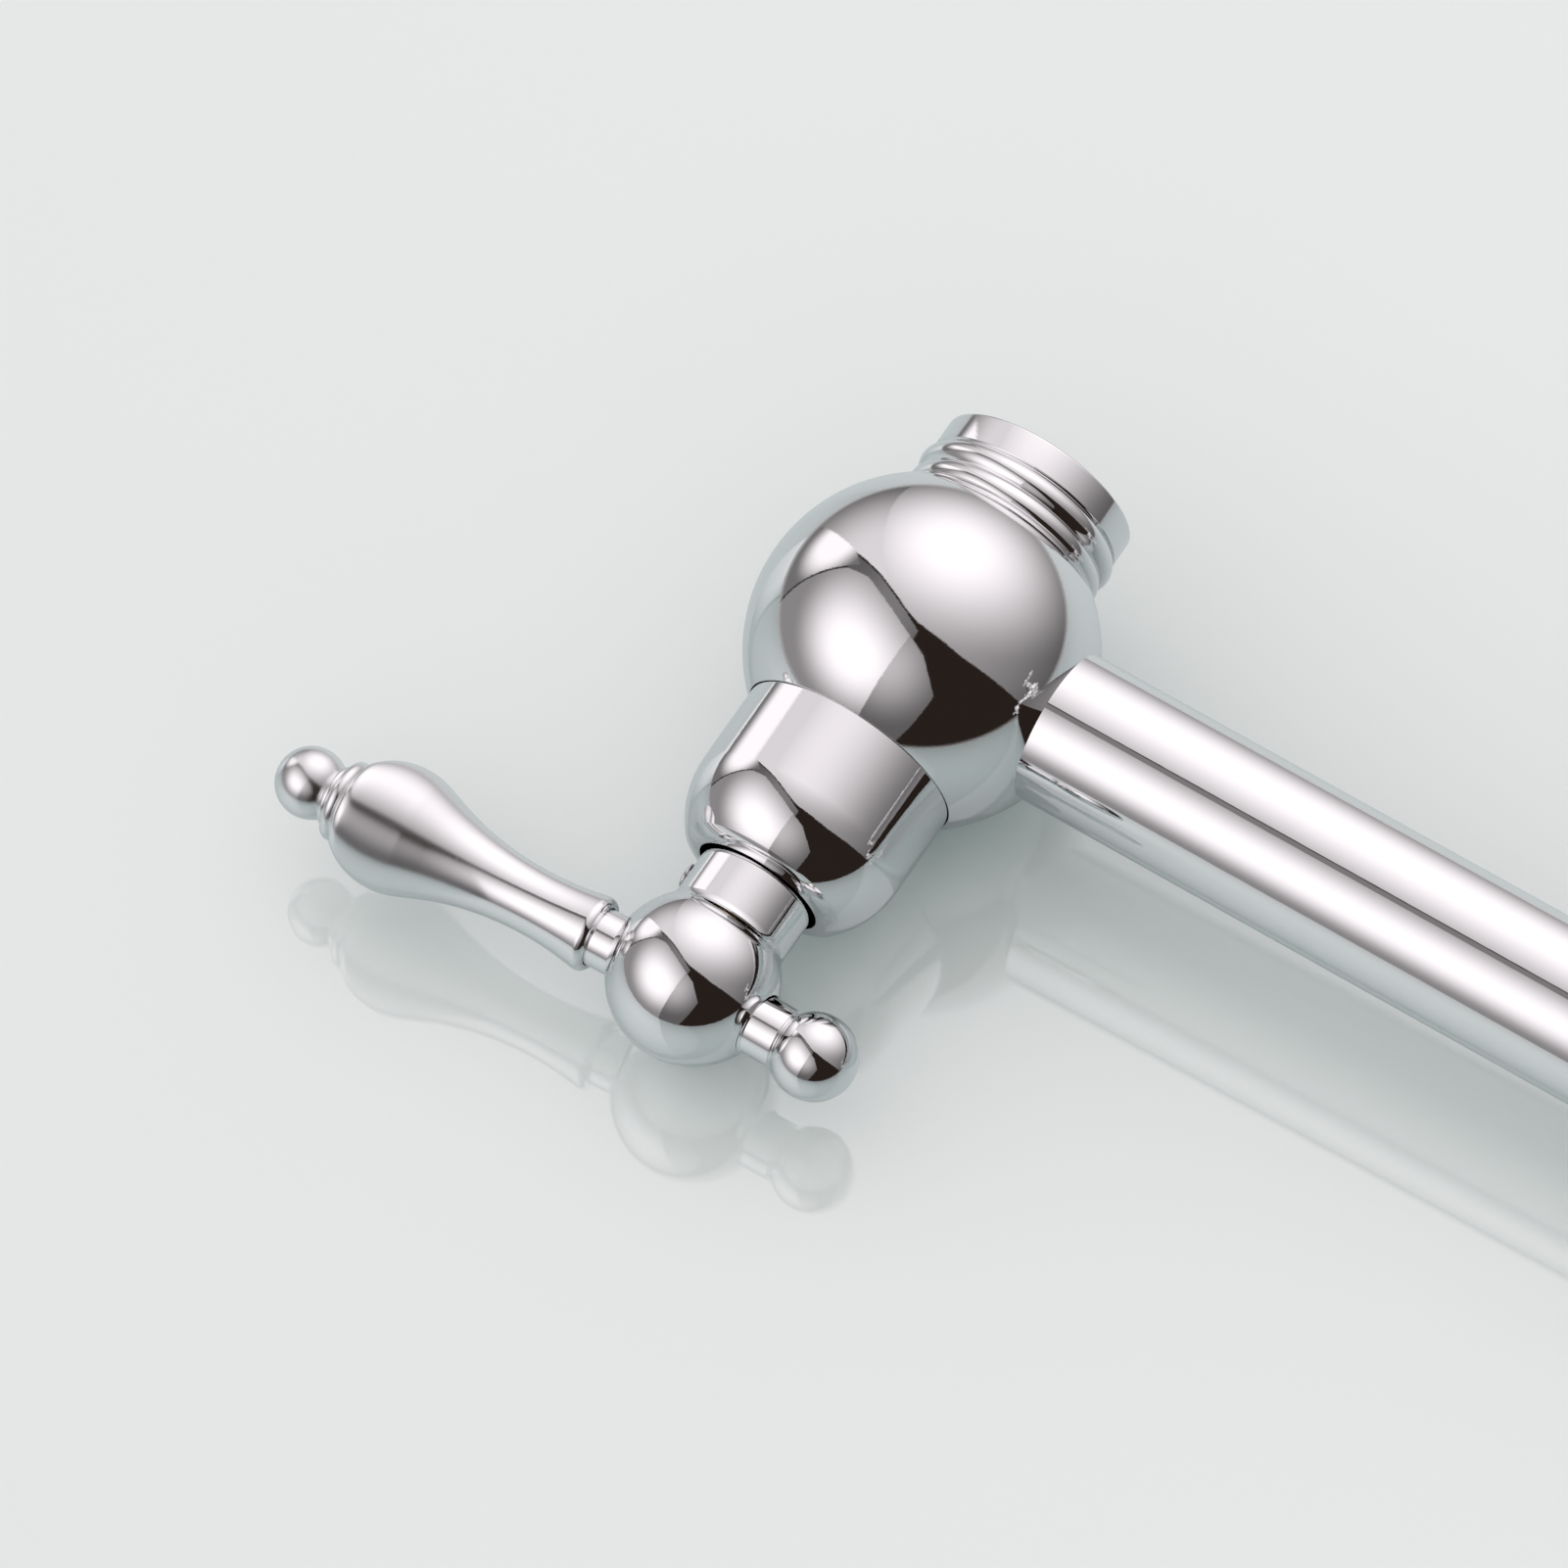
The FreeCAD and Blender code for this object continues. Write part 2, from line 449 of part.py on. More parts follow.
def lever(prefix, place):
    """Everything that turns with a valve's lever: hub, spindle, disc, screw, stud and handle."""
    lift = Vector(0, 0, mm(hub_height + " + lever_lift"))
    handle_way = Placement(lift, Rotation(Vector(0, 1, 0), 90 - mm("lever_tilt")))
    knob_way = Placement(lift, Rotation(Vector(0, 1, 0), -90))
    knob_seat = "(sqrt(hub_radius^2 - (knob_stem_radius + knob_ring_height / 2)^2) - seat_flat)"
    knob_flat_radius = "knob_stem_radius + 0.6 * knob_ring_height"
    ferrule_seat = "(sqrt(hub_radius^2 - ferrule_radius^2) - seat_flat)"

    socket = "(spindle_radius + solder_gap)"
    outline = [
        (socket, neck_bottom),
        ("neck_radius", neck_bottom),
        ("neck_radius", neck_top, "out", "hub_radius"),
        ("0", hub_height + " + hub_radius"),
        ("0", spindle_top + " + gland_gap"),
        (socket, spindle_top + " + gland_gap"),
    ]
    hub = turned(prefix + "_hub_blank", outline)
    stud_hole = rod(
        prefix + "_stud_hole", "stud_radius + solder_gap", "-2 * hub_radius", "2 * hub_radius", handle_way
    )
    knob_flat = rod(prefix + "_knob_flat", knob_flat_radius, knob_seat, "2 * hub_radius", knob_way)
    ferrule_flat = rod(
        prefix + "_ferrule_flat", "ferrule_radius + thread_gap", ferrule_seat, "2 * hub_radius", handle_way
    )
    screw_way = lifted(neck_top + " - neck_show / 2").multiply(along_x(1))
    screw_hole = rod(
        prefix + "_screw_hole", "screw_radius + solder_gap", "0", "2 * neck_radius", screw_way
    )
    node(
        prefix + "_lever_hub",
        cut(prefix + "_hub_cut", hub, [stud_hole, knob_flat, ferrule_flat, screw_hole]),
        place,
    )

    screw = [
        ("0", "spindle_radius + swivel_gap"),
        ("screw_radius", "spindle_radius + swivel_gap"),
        ("screw_radius", "neck_radius + solder_gap"),
        ("screw_head", "neck_radius + solder_gap"),
        ("screw_head", "neck_radius + screw_proud / 2"),
        ("screw_radius", "neck_radius + screw_proud"),
        ("0", "neck_radius + screw_proud"),
    ]
    node(prefix + "_hub_screw", turned(prefix + "_screw", screw), place.multiply(screw_way))

    foot_start = "(2 * disc_height + swivel_gap)"
    foot_end = "(%s + spindle_foot_height)" % foot_start
    spindle = [
        ("0", foot_start),
        ("spindle_foot", foot_start),
        ("spindle_foot", foot_end),
        ("spindle_radius", foot_end),
        ("spindle_radius", spindle_top),
        ("0", spindle_top),
    ]
    node(prefix + "_spindle", turned(prefix + "_spindle_turned", spindle), place)
    node(prefix + "_turning_disc", ceramic_disc(prefix + "_turning", "disc_height + swivel_gap", 90), place)

    knob_stud_end = "%s + stud_bite" % knob_seat
    handle_stud_end = "sleeve_start + sleeve_depth + stud_bite"
    stud = rod(prefix + "_stud_rod", "stud_radius", "-(%s)" % knob_stud_end, handle_stud_end)
    node(prefix + "_lever_stud", stud, place.multiply(handle_way).multiply(stud.Placement))

    ferrule = [
        ("stud_radius + solder_gap", ferrule_seat),
        ("ferrule_radius", ferrule_seat),
        ("ferrule_radius", "sleeve_start + sleeve_depth"),
        ("stud_radius + solder_gap", "sleeve_start + sleeve_depth"),
    ]
    node(prefix + "_lever_ferrule", turned(prefix + "_ferrule", ferrule), place.multiply(handle_way))
    node(prefix + "_lever_handle", handle(prefix), place.multiply(handle_way))

    ring_top = "(%s + knob_ring_height)" % knob_seat
    stem_top = "(%s + knob_stem_length)" % ring_top
    knob_join = "(knob_reach - sqrt(knob_radius^2 - knob_groove_radius^2))"
    knob = [
        ("0", knob_seat),
        ("knob_stem_radius", knob_seat, "out", bead_arc("knob_ring_height")),
        ("knob_stem_radius", ring_top),
        ("knob_stem_radius", stem_top),
        ("knob_groove_radius", stem_top),
        ("knob_groove_radius", knob_join, "out", "knob_radius"),
        ("0", "knob_reach + knob_radius"),
    ]
    knob_blank = turned(prefix + "_knob_blank", knob)
    knob_blank.Placement = knob_way
    knob_bore = rod(
        prefix + "_knob_bore", "stud_radius + solder_gap", "-(%s)" % knob_stud_end, "0", handle_way
    )
    node(prefix + "_lever_knob", cut(prefix + "_knob_cut", knob_blank, [knob_bore]), place)


def handle(prefix):
    """Vase-shaped handle, turned: hollow end, waist, flare, belly, three rings and an end ball."""
    lip_end = "(sleeve_start + sleeve_lip_length)"
    flare_start = "(lever_length - flare_start_setback)"
    flare_end = "(lever_length - flare_end_setback)"
    shoulder = "(lever_length - shoulder_setback)"
    belly = "(lever_length - belly_setback)"
    vase_end = "(lever_length - vase_end_setback)"
    waist_half = "((%s - %s) / 2)" % (flare_start, lip_end)
    waist_arc = "(%s^2 + waist_sag^2) / (2 * waist_sag)" % waist_half
    back_arc = upright_arc("(belly_radius - shoulder_radius)", "(shoulder_setback - belly_setback)")
    front_arc = upright_arc("(belly_radius - vase_end_radius)", "(belly_setback - vase_end_setback)")
    thin_ring_end = "(%s + thin_ring_height)" % vase_end
    large_ring_end = "(%s + large_ring_height)" % thin_ring_end
    small_ring_end = "(%s + small_ring_height)" % large_ring_end
    join = "(lever_length - sqrt(end_ball_radius^2 - end_neck_radius^2))"
    hollow_floor = "(sleeve_start + sleeve_depth)"
    outline = [
        ("ferrule_radius + thread_gap", "sleeve_start"),
        ("sleeve_lip_radius", "sleeve_start", "out", "sleeve_lip_bend"),
        ("sleeve_radius", lip_end, "in", waist_arc),
        ("flare_start_radius", flare_start, "in", "flare_bend"),
        ("flare_end_radius", flare_end),
        ("shoulder_radius", shoulder, "out", back_arc),
        ("belly_radius", belly, "out", front_arc),
        ("vase_end_radius", vase_end),
        ("thin_ring_radius", vase_end),
        ("thin_ring_radius", thin_ring_end),
        ("large_ring_radius", thin_ring_end, "out", bead_arc("large_ring_height")),
        ("large_ring_radius", large_ring_end),
        ("small_ring_radius", large_ring_end, "out", bead_arc("small_ring_height")),
        ("small_ring_radius", small_ring_end),
        ("end_neck_radius", join, "out", "end_ball_radius"),
        ("0", "lever_length + end_ball_radius"),
        ("0", hollow_floor + " + stud_bite"),
        ("stud_radius + solder_gap", hollow_floor + " + stud_bite"),
        ("stud_radius + solder_gap", hollow_floor),
        ("ferrule_radius + thread_gap", hollow_floor),
    ]
    return turned(prefix + "_handle", outline)


def aerator(place):
    """Screw-in outlet: housing, rubber washer, moulded insert with jets, and gauze."""
    lip_end = "(%s + aerator_height)" % collar_face
    insert_foot = "(%s - aerator_lip_height)" % lip_end
    housing = [
        ("aerator_lip", "-" + lip_end),
        ("collar_radius - aerator_edge", "-" + lip_end, "out", "1.05 * aerator_edge"),
        ("collar_radius", "-%s + aerator_edge" % lip_end),
        ("collar_radius", "-%s - aerator_edge" % collar_face),
        ("collar_radius - aerator_edge", "-" + collar_face),
        ("thread_radius", "-" + collar_face),
        ("thread_radius", "-" + thread_end),
        ("aerator_bore", "-" + thread_end),
        ("aerator_bore", "-" + insert_foot),
        ("aerator_lip", "-" + insert_foot),
    ]
    node("aerator_housing", turned("aerator_housing_turned", housing), place)

    insert_radius = "(aerator_bore - thread_gap)"
    floor_top = "(%s - insert_floor)" % insert_foot
    insert = [
        ("0", "-" + insert_foot),
        (insert_radius, "-" + insert_foot),
        (insert_radius, "-" + thread_end),
        (insert_radius + " - insert_wall", "-" + thread_end),
        (insert_radius + " - insert_wall", "-" + floor_top),
        ("0", "-" + floor_top),
    ]
    blank = turned("aerator_insert_turned", insert)
    jet_start, jet_end = "-%s - 1" % insert_foot, "-%s + 1" % floor_top
    jets = [rod("aerator_jet", "jet_radius", jet_start, jet_end)]
    for ring in (1, 2, 3):
        for step in range(6 * ring):
            spot = Rotation(Vector(0, 0, 1), 60.0 * step / ring).multVec(Vector(mm("jet_pitch") * ring, 0, 0))
            where = Placement(spot, Rotation())
            jets.append(rod("aerator_jet", "jet_radius", jet_start, jet_end, where))
    node("aerator_insert", cut("aerator_insert_cut", blank, jets), place)

    gauze_foot = "-%s + gauze_rise" % floor_top
    gauze_radius = insert_radius + " - insert_wall"
    gauze = rod("aerator_gauze_disc", gauze_radius, gauze_foot, gauze_foot + " + gauze_height")
    node("aerator_gauze", gauze, place.multiply(gauze.Placement))
    flat_washer("aerator_washer", place)


def flat_washer(name, place):
    """Rubber washer on the floor of a ball body's lower thread."""
    blank = rod(name + "_blank", "thread_radius", "-" + thread_end, "-" + thread_floor)
    hole = rod(name + "_hole", "washer_bore", "-%s - 1" % thread_end, "-%s + 1" % thread_floor)
    node(name, cut(name + "_cut", blank, [hole]), place)


def swivel_post(name, foot, place):
    """Hollow post that a knuckle turns on, with two ring grooves, side holes and a stud on top."""
    lower = knuckle_foot + " + ring_inset"
    upper = knuckle_top + " - ring_inset"
    groove = "(post_radius - 2 * ring_section)"
    half = "1.1 * ring_section"
    outline = foot + [
        ("post_radius", lower + " - " + half),
        (groove, lower + " - " + half),
        (groove, lower + " + " + half),
        ("post_radius", lower + " + " + half),
        ("post_radius", upper + " - " + half),
        (groove, upper + " - " + half),
        (groove, upper + " + " + half),
        ("post_radius", upper + " + " + half),
        ("post_radius", post_top),
        ("cap_stud_radius", post_top),
        ("cap_stud_radius", post_top + " + cap_stud_length"),
        ("0", post_top + " + cap_stud_length"),
        ("0", post_top + " / 2 + 1.5 * post_window"),
        ("post_bore", post_top + " / 2 + 1.5 * post_window"),
    ]
    blank = turned(name + "_turned", outline)
    windows = []
    for way in (Vector(1, 0, 0), Vector(0, 1, 0)):
        across = Placement(Vector(0, 0, mm(post_top + " / 2")), Rotation(way, 90))
        windows.append(rod(name + "_window", "post_window", "-2 * post_radius", "2 * post_radius", across))
    node(name, cut(name + "_cut", blank, windows), place)


def swivel_trim(prefix, place):
    """Sealing rings, thrust washers and acorn cap that go with a swivel post."""
    rings = []
    for height in (knuckle_foot + " + ring_inset", knuckle_top + " - ring_inset"):
        ring = doc.addObject("Part::Torus", prefix + "_swivel_ring")
        ring.setExpression("Radius1", bind("post_radius - ring_section"))
        ring.setExpression("Radius2", bind("ring_section"))
        ring.Placement = Placement(Vector(0, 0, mm(height)), Rotation())
        rings.append(ring)
    node(prefix + "_swivel_rings", joined(prefix + "_swivel_ring_pair", rings), place)

    heights = {"lower": "0", "upper": knuckle_top + " + swivel_gap"}
    for which, start in heights.items():
        name = "%s_%s_washer" % (prefix, which)
        end = start + " + washer_height"
        blank = rod(name + "_blank", "knuckle_end_radius - washer_height", start, end)
        hole = rod(name + "_hole", "post_radius + thread_gap", start + " - 1", end + " + 1")
        node(name, cut(name + "_cut", blank, [hole]), place)
    node(prefix + "_cap", cap(prefix), place.multiply(lifted(post_top)))


def cap(prefix):
    """Acorn cap: bead, dome and a small ball finial, with a blind threaded hole."""
    dome_top = "(cap_bead_height + cap_dome_height)"
    dome_radius = "(cap_radius - washer_height)"
    dome_width = "(%s - 1.5 * finial_neck_radius)" % dome_radius
    finial_neck = "(%s + finial_neck_radius / 2)" % dome_top
    finial_top = "%s + sqrt(finial_radius^2 - finial_neck_radius^2) + finial_radius" % finial_neck
    outline = [
        ("cap_stud_radius + thread_gap", "0"),
        ("cap_radius", "0", "out", bead_arc("cap_bead_height")),
        ("cap_radius", "cap_bead_height"),
        (dome_radius, "cap_bead_height", "out", upright_arc("cap_dome_height", dome_width)),
        ("1.5 * finial_neck_radius", dome_top, "in", "finial_neck_radius"),
        ("finial_neck_radius", finial_neck, "out", "finial_radius"),
        ("0", finial_top),
        ("0", "cap_stud_length + thread_gap"),
        ("cap_stud_radius + thread_gap", "cap_stud_length + thread_gap"),
    ]
    return turned(prefix + "_cap_turned", outline)


def barrel(outline_start, outline_end):
    """Outline of a knuckle's outside, beads at both ends and a swelling middle."""
    rise = "(knuckle_height / 2 - knuckle_bead_height)"
    swell = "(knuckle_belly_radius - knuckle_end_radius)"
    bead = bead_arc("knuckle_bead_height")
    side = [
        ("knuckle_end_radius", "0", "out", bead),
        ("knuckle_end_radius", "knuckle_bead_height", "out", upright_arc(swell, rise)),
        ("knuckle_end_radius", "knuckle_height - knuckle_bead_height", "out", bead),
        ("knuckle_end_radius", "knuckle_height"),
    ]
    return outline_start + side + outline_end


def tube_cuts(name, side, inside):
    """Socket and port that let a tube into a knuckle from one side, as far as its inside."""
    level = lifted("knuckle_height / 2").multiply(along_x(side))
    outside = "3 * knuckle_belly_radius"
    socket = rod(name + "_socket", "tube_radius + solder_gap", "tube_seat", outside, level)
    port = rod(name + "_port", "tube_radius - 3 * tube_wall", inside + " - 1", "tube_seat + 1", level)
    return [socket, port]


def knuckle(name, place):
    """Barrel that turns on a post: two plain lands, a water chamber between them, a tube socket."""
    bore = "post_radius + swivel_gap"
    inside = [
        (bore, "knuckle_height"),
        (bore, "knuckle_height - knuckle_land"),
        ("knuckle_chamber", "knuckle_height - knuckle_land"),
        ("knuckle_chamber", "knuckle_land"),
        (bore, "knuckle_land"),
    ]
    blank = turned(name + "_barrel", barrel([(bore, "0")], inside))
    tools = tube_cuts(name, 1, "knuckle_chamber")
    node(name, cut(name + "_cut", blank, tools), place.multiply(lifted(knuckle_foot)))


def arm_tube(name, start, end, height):
    """Drawn tube between two places along X at one height."""
    outside = rod(name + "_outside", "tube_radius", "0", "(%s) - (%s)" % (end, start))
    inside = rod(name + "_inside", "tube_radius - tube_wall", "-1", "(%s) - (%s) + 1" % (end, start))
    where = Placement(Vector(mm(start), -mm("wall_reach"), mm(height)), Rotation()).multiply(along_x(1))
    node(name, cut(name + "_cut", outside, [inside]), where)


def wall_fittings(place):
    """Inlet nipple, shank and flange between the wall and the first ball body."""
    wall = "-wall_reach"
    step = "(%s + nipple_insert + inlet_washer_height)" % wall
    nipple_hole = "nipple_radius + thread_gap"
    shank = [
        (nipple_hole, wall),
        ("shank_radius", wall),
        ("shank_radius", "-" + collar_face),
        ("thread_radius", "-" + collar_face),
        ("thread_radius", "-" + thread_end),
        ("shank_bore", "-" + thread_end),
        ("shank_bore", step),
        (nipple_hole, step),
    ]
    node("wall_shank", turned("shank", shank), place)
    flat_washer("shank_washer", place)

    nipple_end = wall + " - nipple_back"
    nipple_top = wall + " + nipple_insert"
    nipple = [
        ("nipple_bore", nipple_end),
        ("nipple_radius", nipple_end),
        ("nipple_radius", wall),
        ("nipple_relief_radius", wall),
        ("nipple_relief_radius", wall + " + nipple_relief_width"),
        ("nipple_radius", wall + " + nipple_relief_width"),
        ("nipple_radius", nipple_top),
        ("nipple_bore", nipple_top),
    ]
    outside = turned("nipple_turned", nipple)
    key = hexagon("nipple_key_socket", "nipple_key", nipple_end + " - 1", nipple_end + " + nipple_key_depth")
    node("inlet_nipple", cut("nipple_cut", outside, [key]), place)

    washer = rod("inlet_washer_blank", "nipple_radius", nipple_top, step)
    washer_hole = rod("inlet_washer_hole", "nipple_bore", nipple_top + " - 1", step + " + 1")
    node("inlet_washer", cut("inlet_washer_cut", washer, [washer_hole]), place)

    bore = "(shank_radius + thread_gap)"
    neck_foot = "(%s + flange_height - flange_neck_height)" % wall
    flange_top = "(%s + flange_height)" % wall
    gasket_top = "(%s + gasket_height)" % wall
    hollow = "(flange_radius - flange_wall)"
    slope = "0.9 * (flange_radius - flange_neck_radius)"
    flange = [
        (hollow, wall),
        ("flange_radius", wall),
        ("flange_radius", wall + " + flange_edge", "in", slope),
        ("flange_neck_radius", neck_foot),
        ("flange_neck_radius", flange_top + " - aerator_edge", "out", "1.05 * aerator_edge"),
        ("flange_neck_radius - aerator_edge", flange_top),
        (bore, flange_top),
        (bore, neck_foot + " - flange_wall"),
        (hollow + " - gasket_width", gasket_top),
        (hollow, gasket_top),
    ]
    blank = turned("flange_bell", flange)
    screw_way = lifted(flange_top + " - flange_neck_height / 2").multiply(along_x(1))
    screw_hole = "setscrew_radius + solder_gap"
    hole = rod("flange_screw_hole", screw_hole, "shank_radius / 2", "2 * flange_radius", screw_way)
    node("wall_flange", cut("flange_cut", blank, [hole]), place)

    screw = rod("setscrew_rod", "setscrew_radius", "shank_radius", "flange_neck_radius")
    key_floor = "flange_neck_radius - setscrew_radius"
    socket = hexagon("setscrew_key", "setscrew_socket", key_floor, "flange_neck_radius + 1")
    node("flange_setscrew", cut("setscrew_cut", screw, [socket]), place.multiply(screw_way))

    gasket = rod("gasket_blank", hollow + " - thread_gap", wall, gasket_top)
    gasket_hole = rod("gasket_hole", hollow + " - gasket_width", wall + " - 1", gasket_top + " + 1")
    node("flange_gasket", cut("gasket_cut", gasket, [gasket_hole]), place)


# Wall valve
wall_fittings(wall_valve)
ball_body("wall_ball", wall_valve)
bonnet("wall_bonnet", wall_valve)
cartridge("wall", wall_valve)
lever("wall", wall_valve)

# Wall swivel, whose post stands in the wall ball's tube socket
post_foot = "(%s - %s)" % (tube_floor, wall_shoulder)
swivel_post(
    "wall_post",
    [
        ("post_bore", post_foot),
        ("tube_radius", post_foot),
        ("tube_radius", "-0.8 * post_rise"),
        ("post_bead_radius", "-0.8 * post_rise", "out", bead_arc("(0.8 * post_rise)")),
        ("post_bead_radius", "0"),
        ("post_radius", "0"),
    ],
    wall_post_place,
)
swivel_trim("wall", wall_post_place)

# Inner arm
knuckle("inner_knuckle", wall_post_place)
arm_tube("inner_tube", "tube_seat", "inner_reach - tube_seat", inner_height)
elbow_hole = "post_spigot + thread_gap"
elbow_blank = turned(
    "elbow_barrel",
    barrel(
        [("0", "-cap_stud_length"), ("cap_stud_radius", "-cap_stud_length"), ("cap_stud_radius", "0")],
        [
            (elbow_hole, "knuckle_height"),
            (elbow_hole, "knuckle_land"),
            ("0", "knuckle_land"),
        ],
    ),
)
node("elbow_body", cut("elbow_cut", elbow_blank, tube_cuts("elbow", -1, "post_spigot")), elbow_place)
upside_down = Placement(Vector(0, 0, 0), Rotation(Vector(1, 0, 0), 180))
node("elbow_finial", cap("elbow_lower"), elbow_place.multiply(upside_down))
column_foot = "-" + column_height
waist_arc_half = "(%s / 2 - knuckle_bead_height)" % column_height
swivel_post(
    "elbow_post",
    [
        ("post_bore", column_foot + " - spigot_length"),
        ("post_spigot", column_foot + " - spigot_length"),
        ("post_spigot", column_foot),
        ("post_bead_radius", column_foot, "out", bead_arc("knuckle_bead_height")),
        (
            "post_bead_radius",
            column_foot + " + knuckle_bead_height",
            "in",
            upright_arc("(post_bead_radius - column_radius)", waist_arc_half),
        ),
        ("post_bead_radius", "-knuckle_bead_height", "out", bead_arc("knuckle_bead_height")),
        ("post_bead_radius", "0"),
        ("post_radius", "0"),
    ],
    elbow_post_place,
)
swivel_trim("elbow", elbow_post_place)

# Outer arm and outlet valve
knuckle("outer_knuckle", elbow_post_place)
arm_tube(
    "outer_tube",
    "inner_reach + tube_seat",
    "inner_reach + outer_reach - " + tube_floor,
    outer_height,
)
ball_body("outlet_ball", outlet_valve)
bonnet("outlet_bonnet", outlet_valve)
cartridge("outlet", outlet_valve)
lever("outlet", outlet_valve)
aerator(outlet_valve)

doc.recompute()

for item in doc.Objects:
    if "Invalid" in item.State or "Error" in item.State:
        raise RuntimeError("%s did not compute: %s" % (item.Label, item.State))
for piece in nodes:
    if piece.Shape.isNull() or not piece.Shape.isValid():
        raise RuntimeError("%s has no valid shape" % piece.Label)

os.makedirs("parts", exist_ok=True)
for piece in nodes:
    piece.Shape.exportStep("parts/%s.step" % piece.Label)
    print("%-24s %2d solid  %10.1f mm3" % (piece.Label, len(piece.Shape.Solids), piece.Shape.Volume))
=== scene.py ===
import bpy
import numpy as np
from mathutils import Matrix


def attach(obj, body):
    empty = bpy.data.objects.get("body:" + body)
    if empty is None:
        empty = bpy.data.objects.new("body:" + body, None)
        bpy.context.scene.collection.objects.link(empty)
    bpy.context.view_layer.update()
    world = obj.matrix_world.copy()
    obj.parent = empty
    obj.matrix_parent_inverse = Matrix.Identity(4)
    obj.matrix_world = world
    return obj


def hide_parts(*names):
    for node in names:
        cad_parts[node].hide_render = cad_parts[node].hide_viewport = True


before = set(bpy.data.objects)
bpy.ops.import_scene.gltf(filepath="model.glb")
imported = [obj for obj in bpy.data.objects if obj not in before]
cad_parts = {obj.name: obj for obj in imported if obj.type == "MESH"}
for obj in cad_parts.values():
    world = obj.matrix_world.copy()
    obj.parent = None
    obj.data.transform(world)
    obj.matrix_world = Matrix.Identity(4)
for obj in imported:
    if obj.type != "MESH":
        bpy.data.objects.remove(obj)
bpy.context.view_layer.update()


# ---- Camera
# It looks down on the outlet's head from the front left, turned so that the arm runs off to the
# lower right.

camera_right = np.array((-0.8362, 0.0666, -0.5444))
camera_up = np.array((0.4719, -0.4182, -0.7761))
camera_right /= np.linalg.norm(camera_right)
camera_up -= camera_right * (camera_up @ camera_right)
camera_up /= np.linalg.norm(camera_up)
camera_back = np.cross(camera_right, camera_up)
camera_spot = (0.1992, -1.0219, 0.44985)

lens = bpy.data.cameras.new("camera")
lens.sensor_width = 36.0
lens.lens = 179.6
lens.clip_start = 0.01
camera = bpy.data.objects.new("camera", lens)
camera.matrix_world = Matrix([
    (camera_right[row], camera_up[row], camera_back[row], camera_spot[row]) for row in range(3)
] + [(0.0, 0.0, 0.0, 1.0)])
bpy.context.scene.collection.objects.link(camera)
bpy.context.scene.camera = camera
bpy.context.scene.view_settings.view_transform = "Standard"


# ---- Sheet of pale glass
# The head of the tap lies on a glossy sheet of pale green glass, which touches the ball body and
# the outer arm. The sheet ends softly before it reaches the elbow.

MM = 0.001
sheet_up = np.array((0.0227, -0.9875, -0.1558))
sheet_up /= np.linalg.norm(sheet_up)
sheet_right = camera_right - sheet_up * (camera_right @ sheet_up)
sheet_right /= np.linalg.norm(sheet_right)
sheet_away = np.cross(sheet_up, sheet_right)
SHEET_SPOT = np.array((0.4894, -0.0378, 0.0899))
SHEET_REACH, SHEET_FADE, SHEET_RIM = 0.245, 0.022, 0.001
SHEET_SIDES = 96
SHEET_DARKER, SHEET_LIGHTER = (0.72, 0.695, 0.695, 1), (0.74, 0.715, 0.715, 1)
# Painted shade: off the camera, in the chrome's reflections and in bounced light, the sheet is
# darker and greener.
SHEET_SHADED_OFF_CAMERA = (0.50, 0.565, 0.565, 1)
SHEET_GREEN, UNLIT = (0.0, 0.042, 0.036, 1), (0, 0, 0, 1)
SHEET_ROUGHNESS, SHEET_IOR = 0.04, 2.1


def add_node(tree, kind, settings=(), inputs=()):
    """A node with its settings, and with its inputs set to a value or joined to a socket."""
    made = tree.nodes.new(kind)
    for name, value in dict(settings).items():
        setattr(made, name, value)
    for key, value in dict(inputs).items():
        if isinstance(value, bpy.types.NodeSocket):
            tree.links.new(value, made.inputs[key])
        else:
            made.inputs[key].default_value = value
    return made


def new_finish(name):
    """A material, its node tree and its shader."""
    made = bpy.data.materials.new(name)
    made.use_nodes = True
    return made, made.node_tree, made.node_tree.nodes["Principled BSDF"]


def new_mesh(name, spots, faces, normals=None):
    """A smooth mesh from points in millimetres, with its points' normals where they are given."""
    mesh = bpy.data.meshes.new(name)
    mesh.from_pydata((np.asarray(spots) * MM).tolist(), [], faces)
    mesh.polygons.foreach_set("use_smooth", np.ones(len(mesh.polygons), dtype=bool))
    if normals is not None:
        mesh.normals_split_custom_set_from_vertices(normals.tolist())
    made = bpy.data.objects.new(name, mesh)
    bpy.context.scene.collection.objects.link(made)
    return made


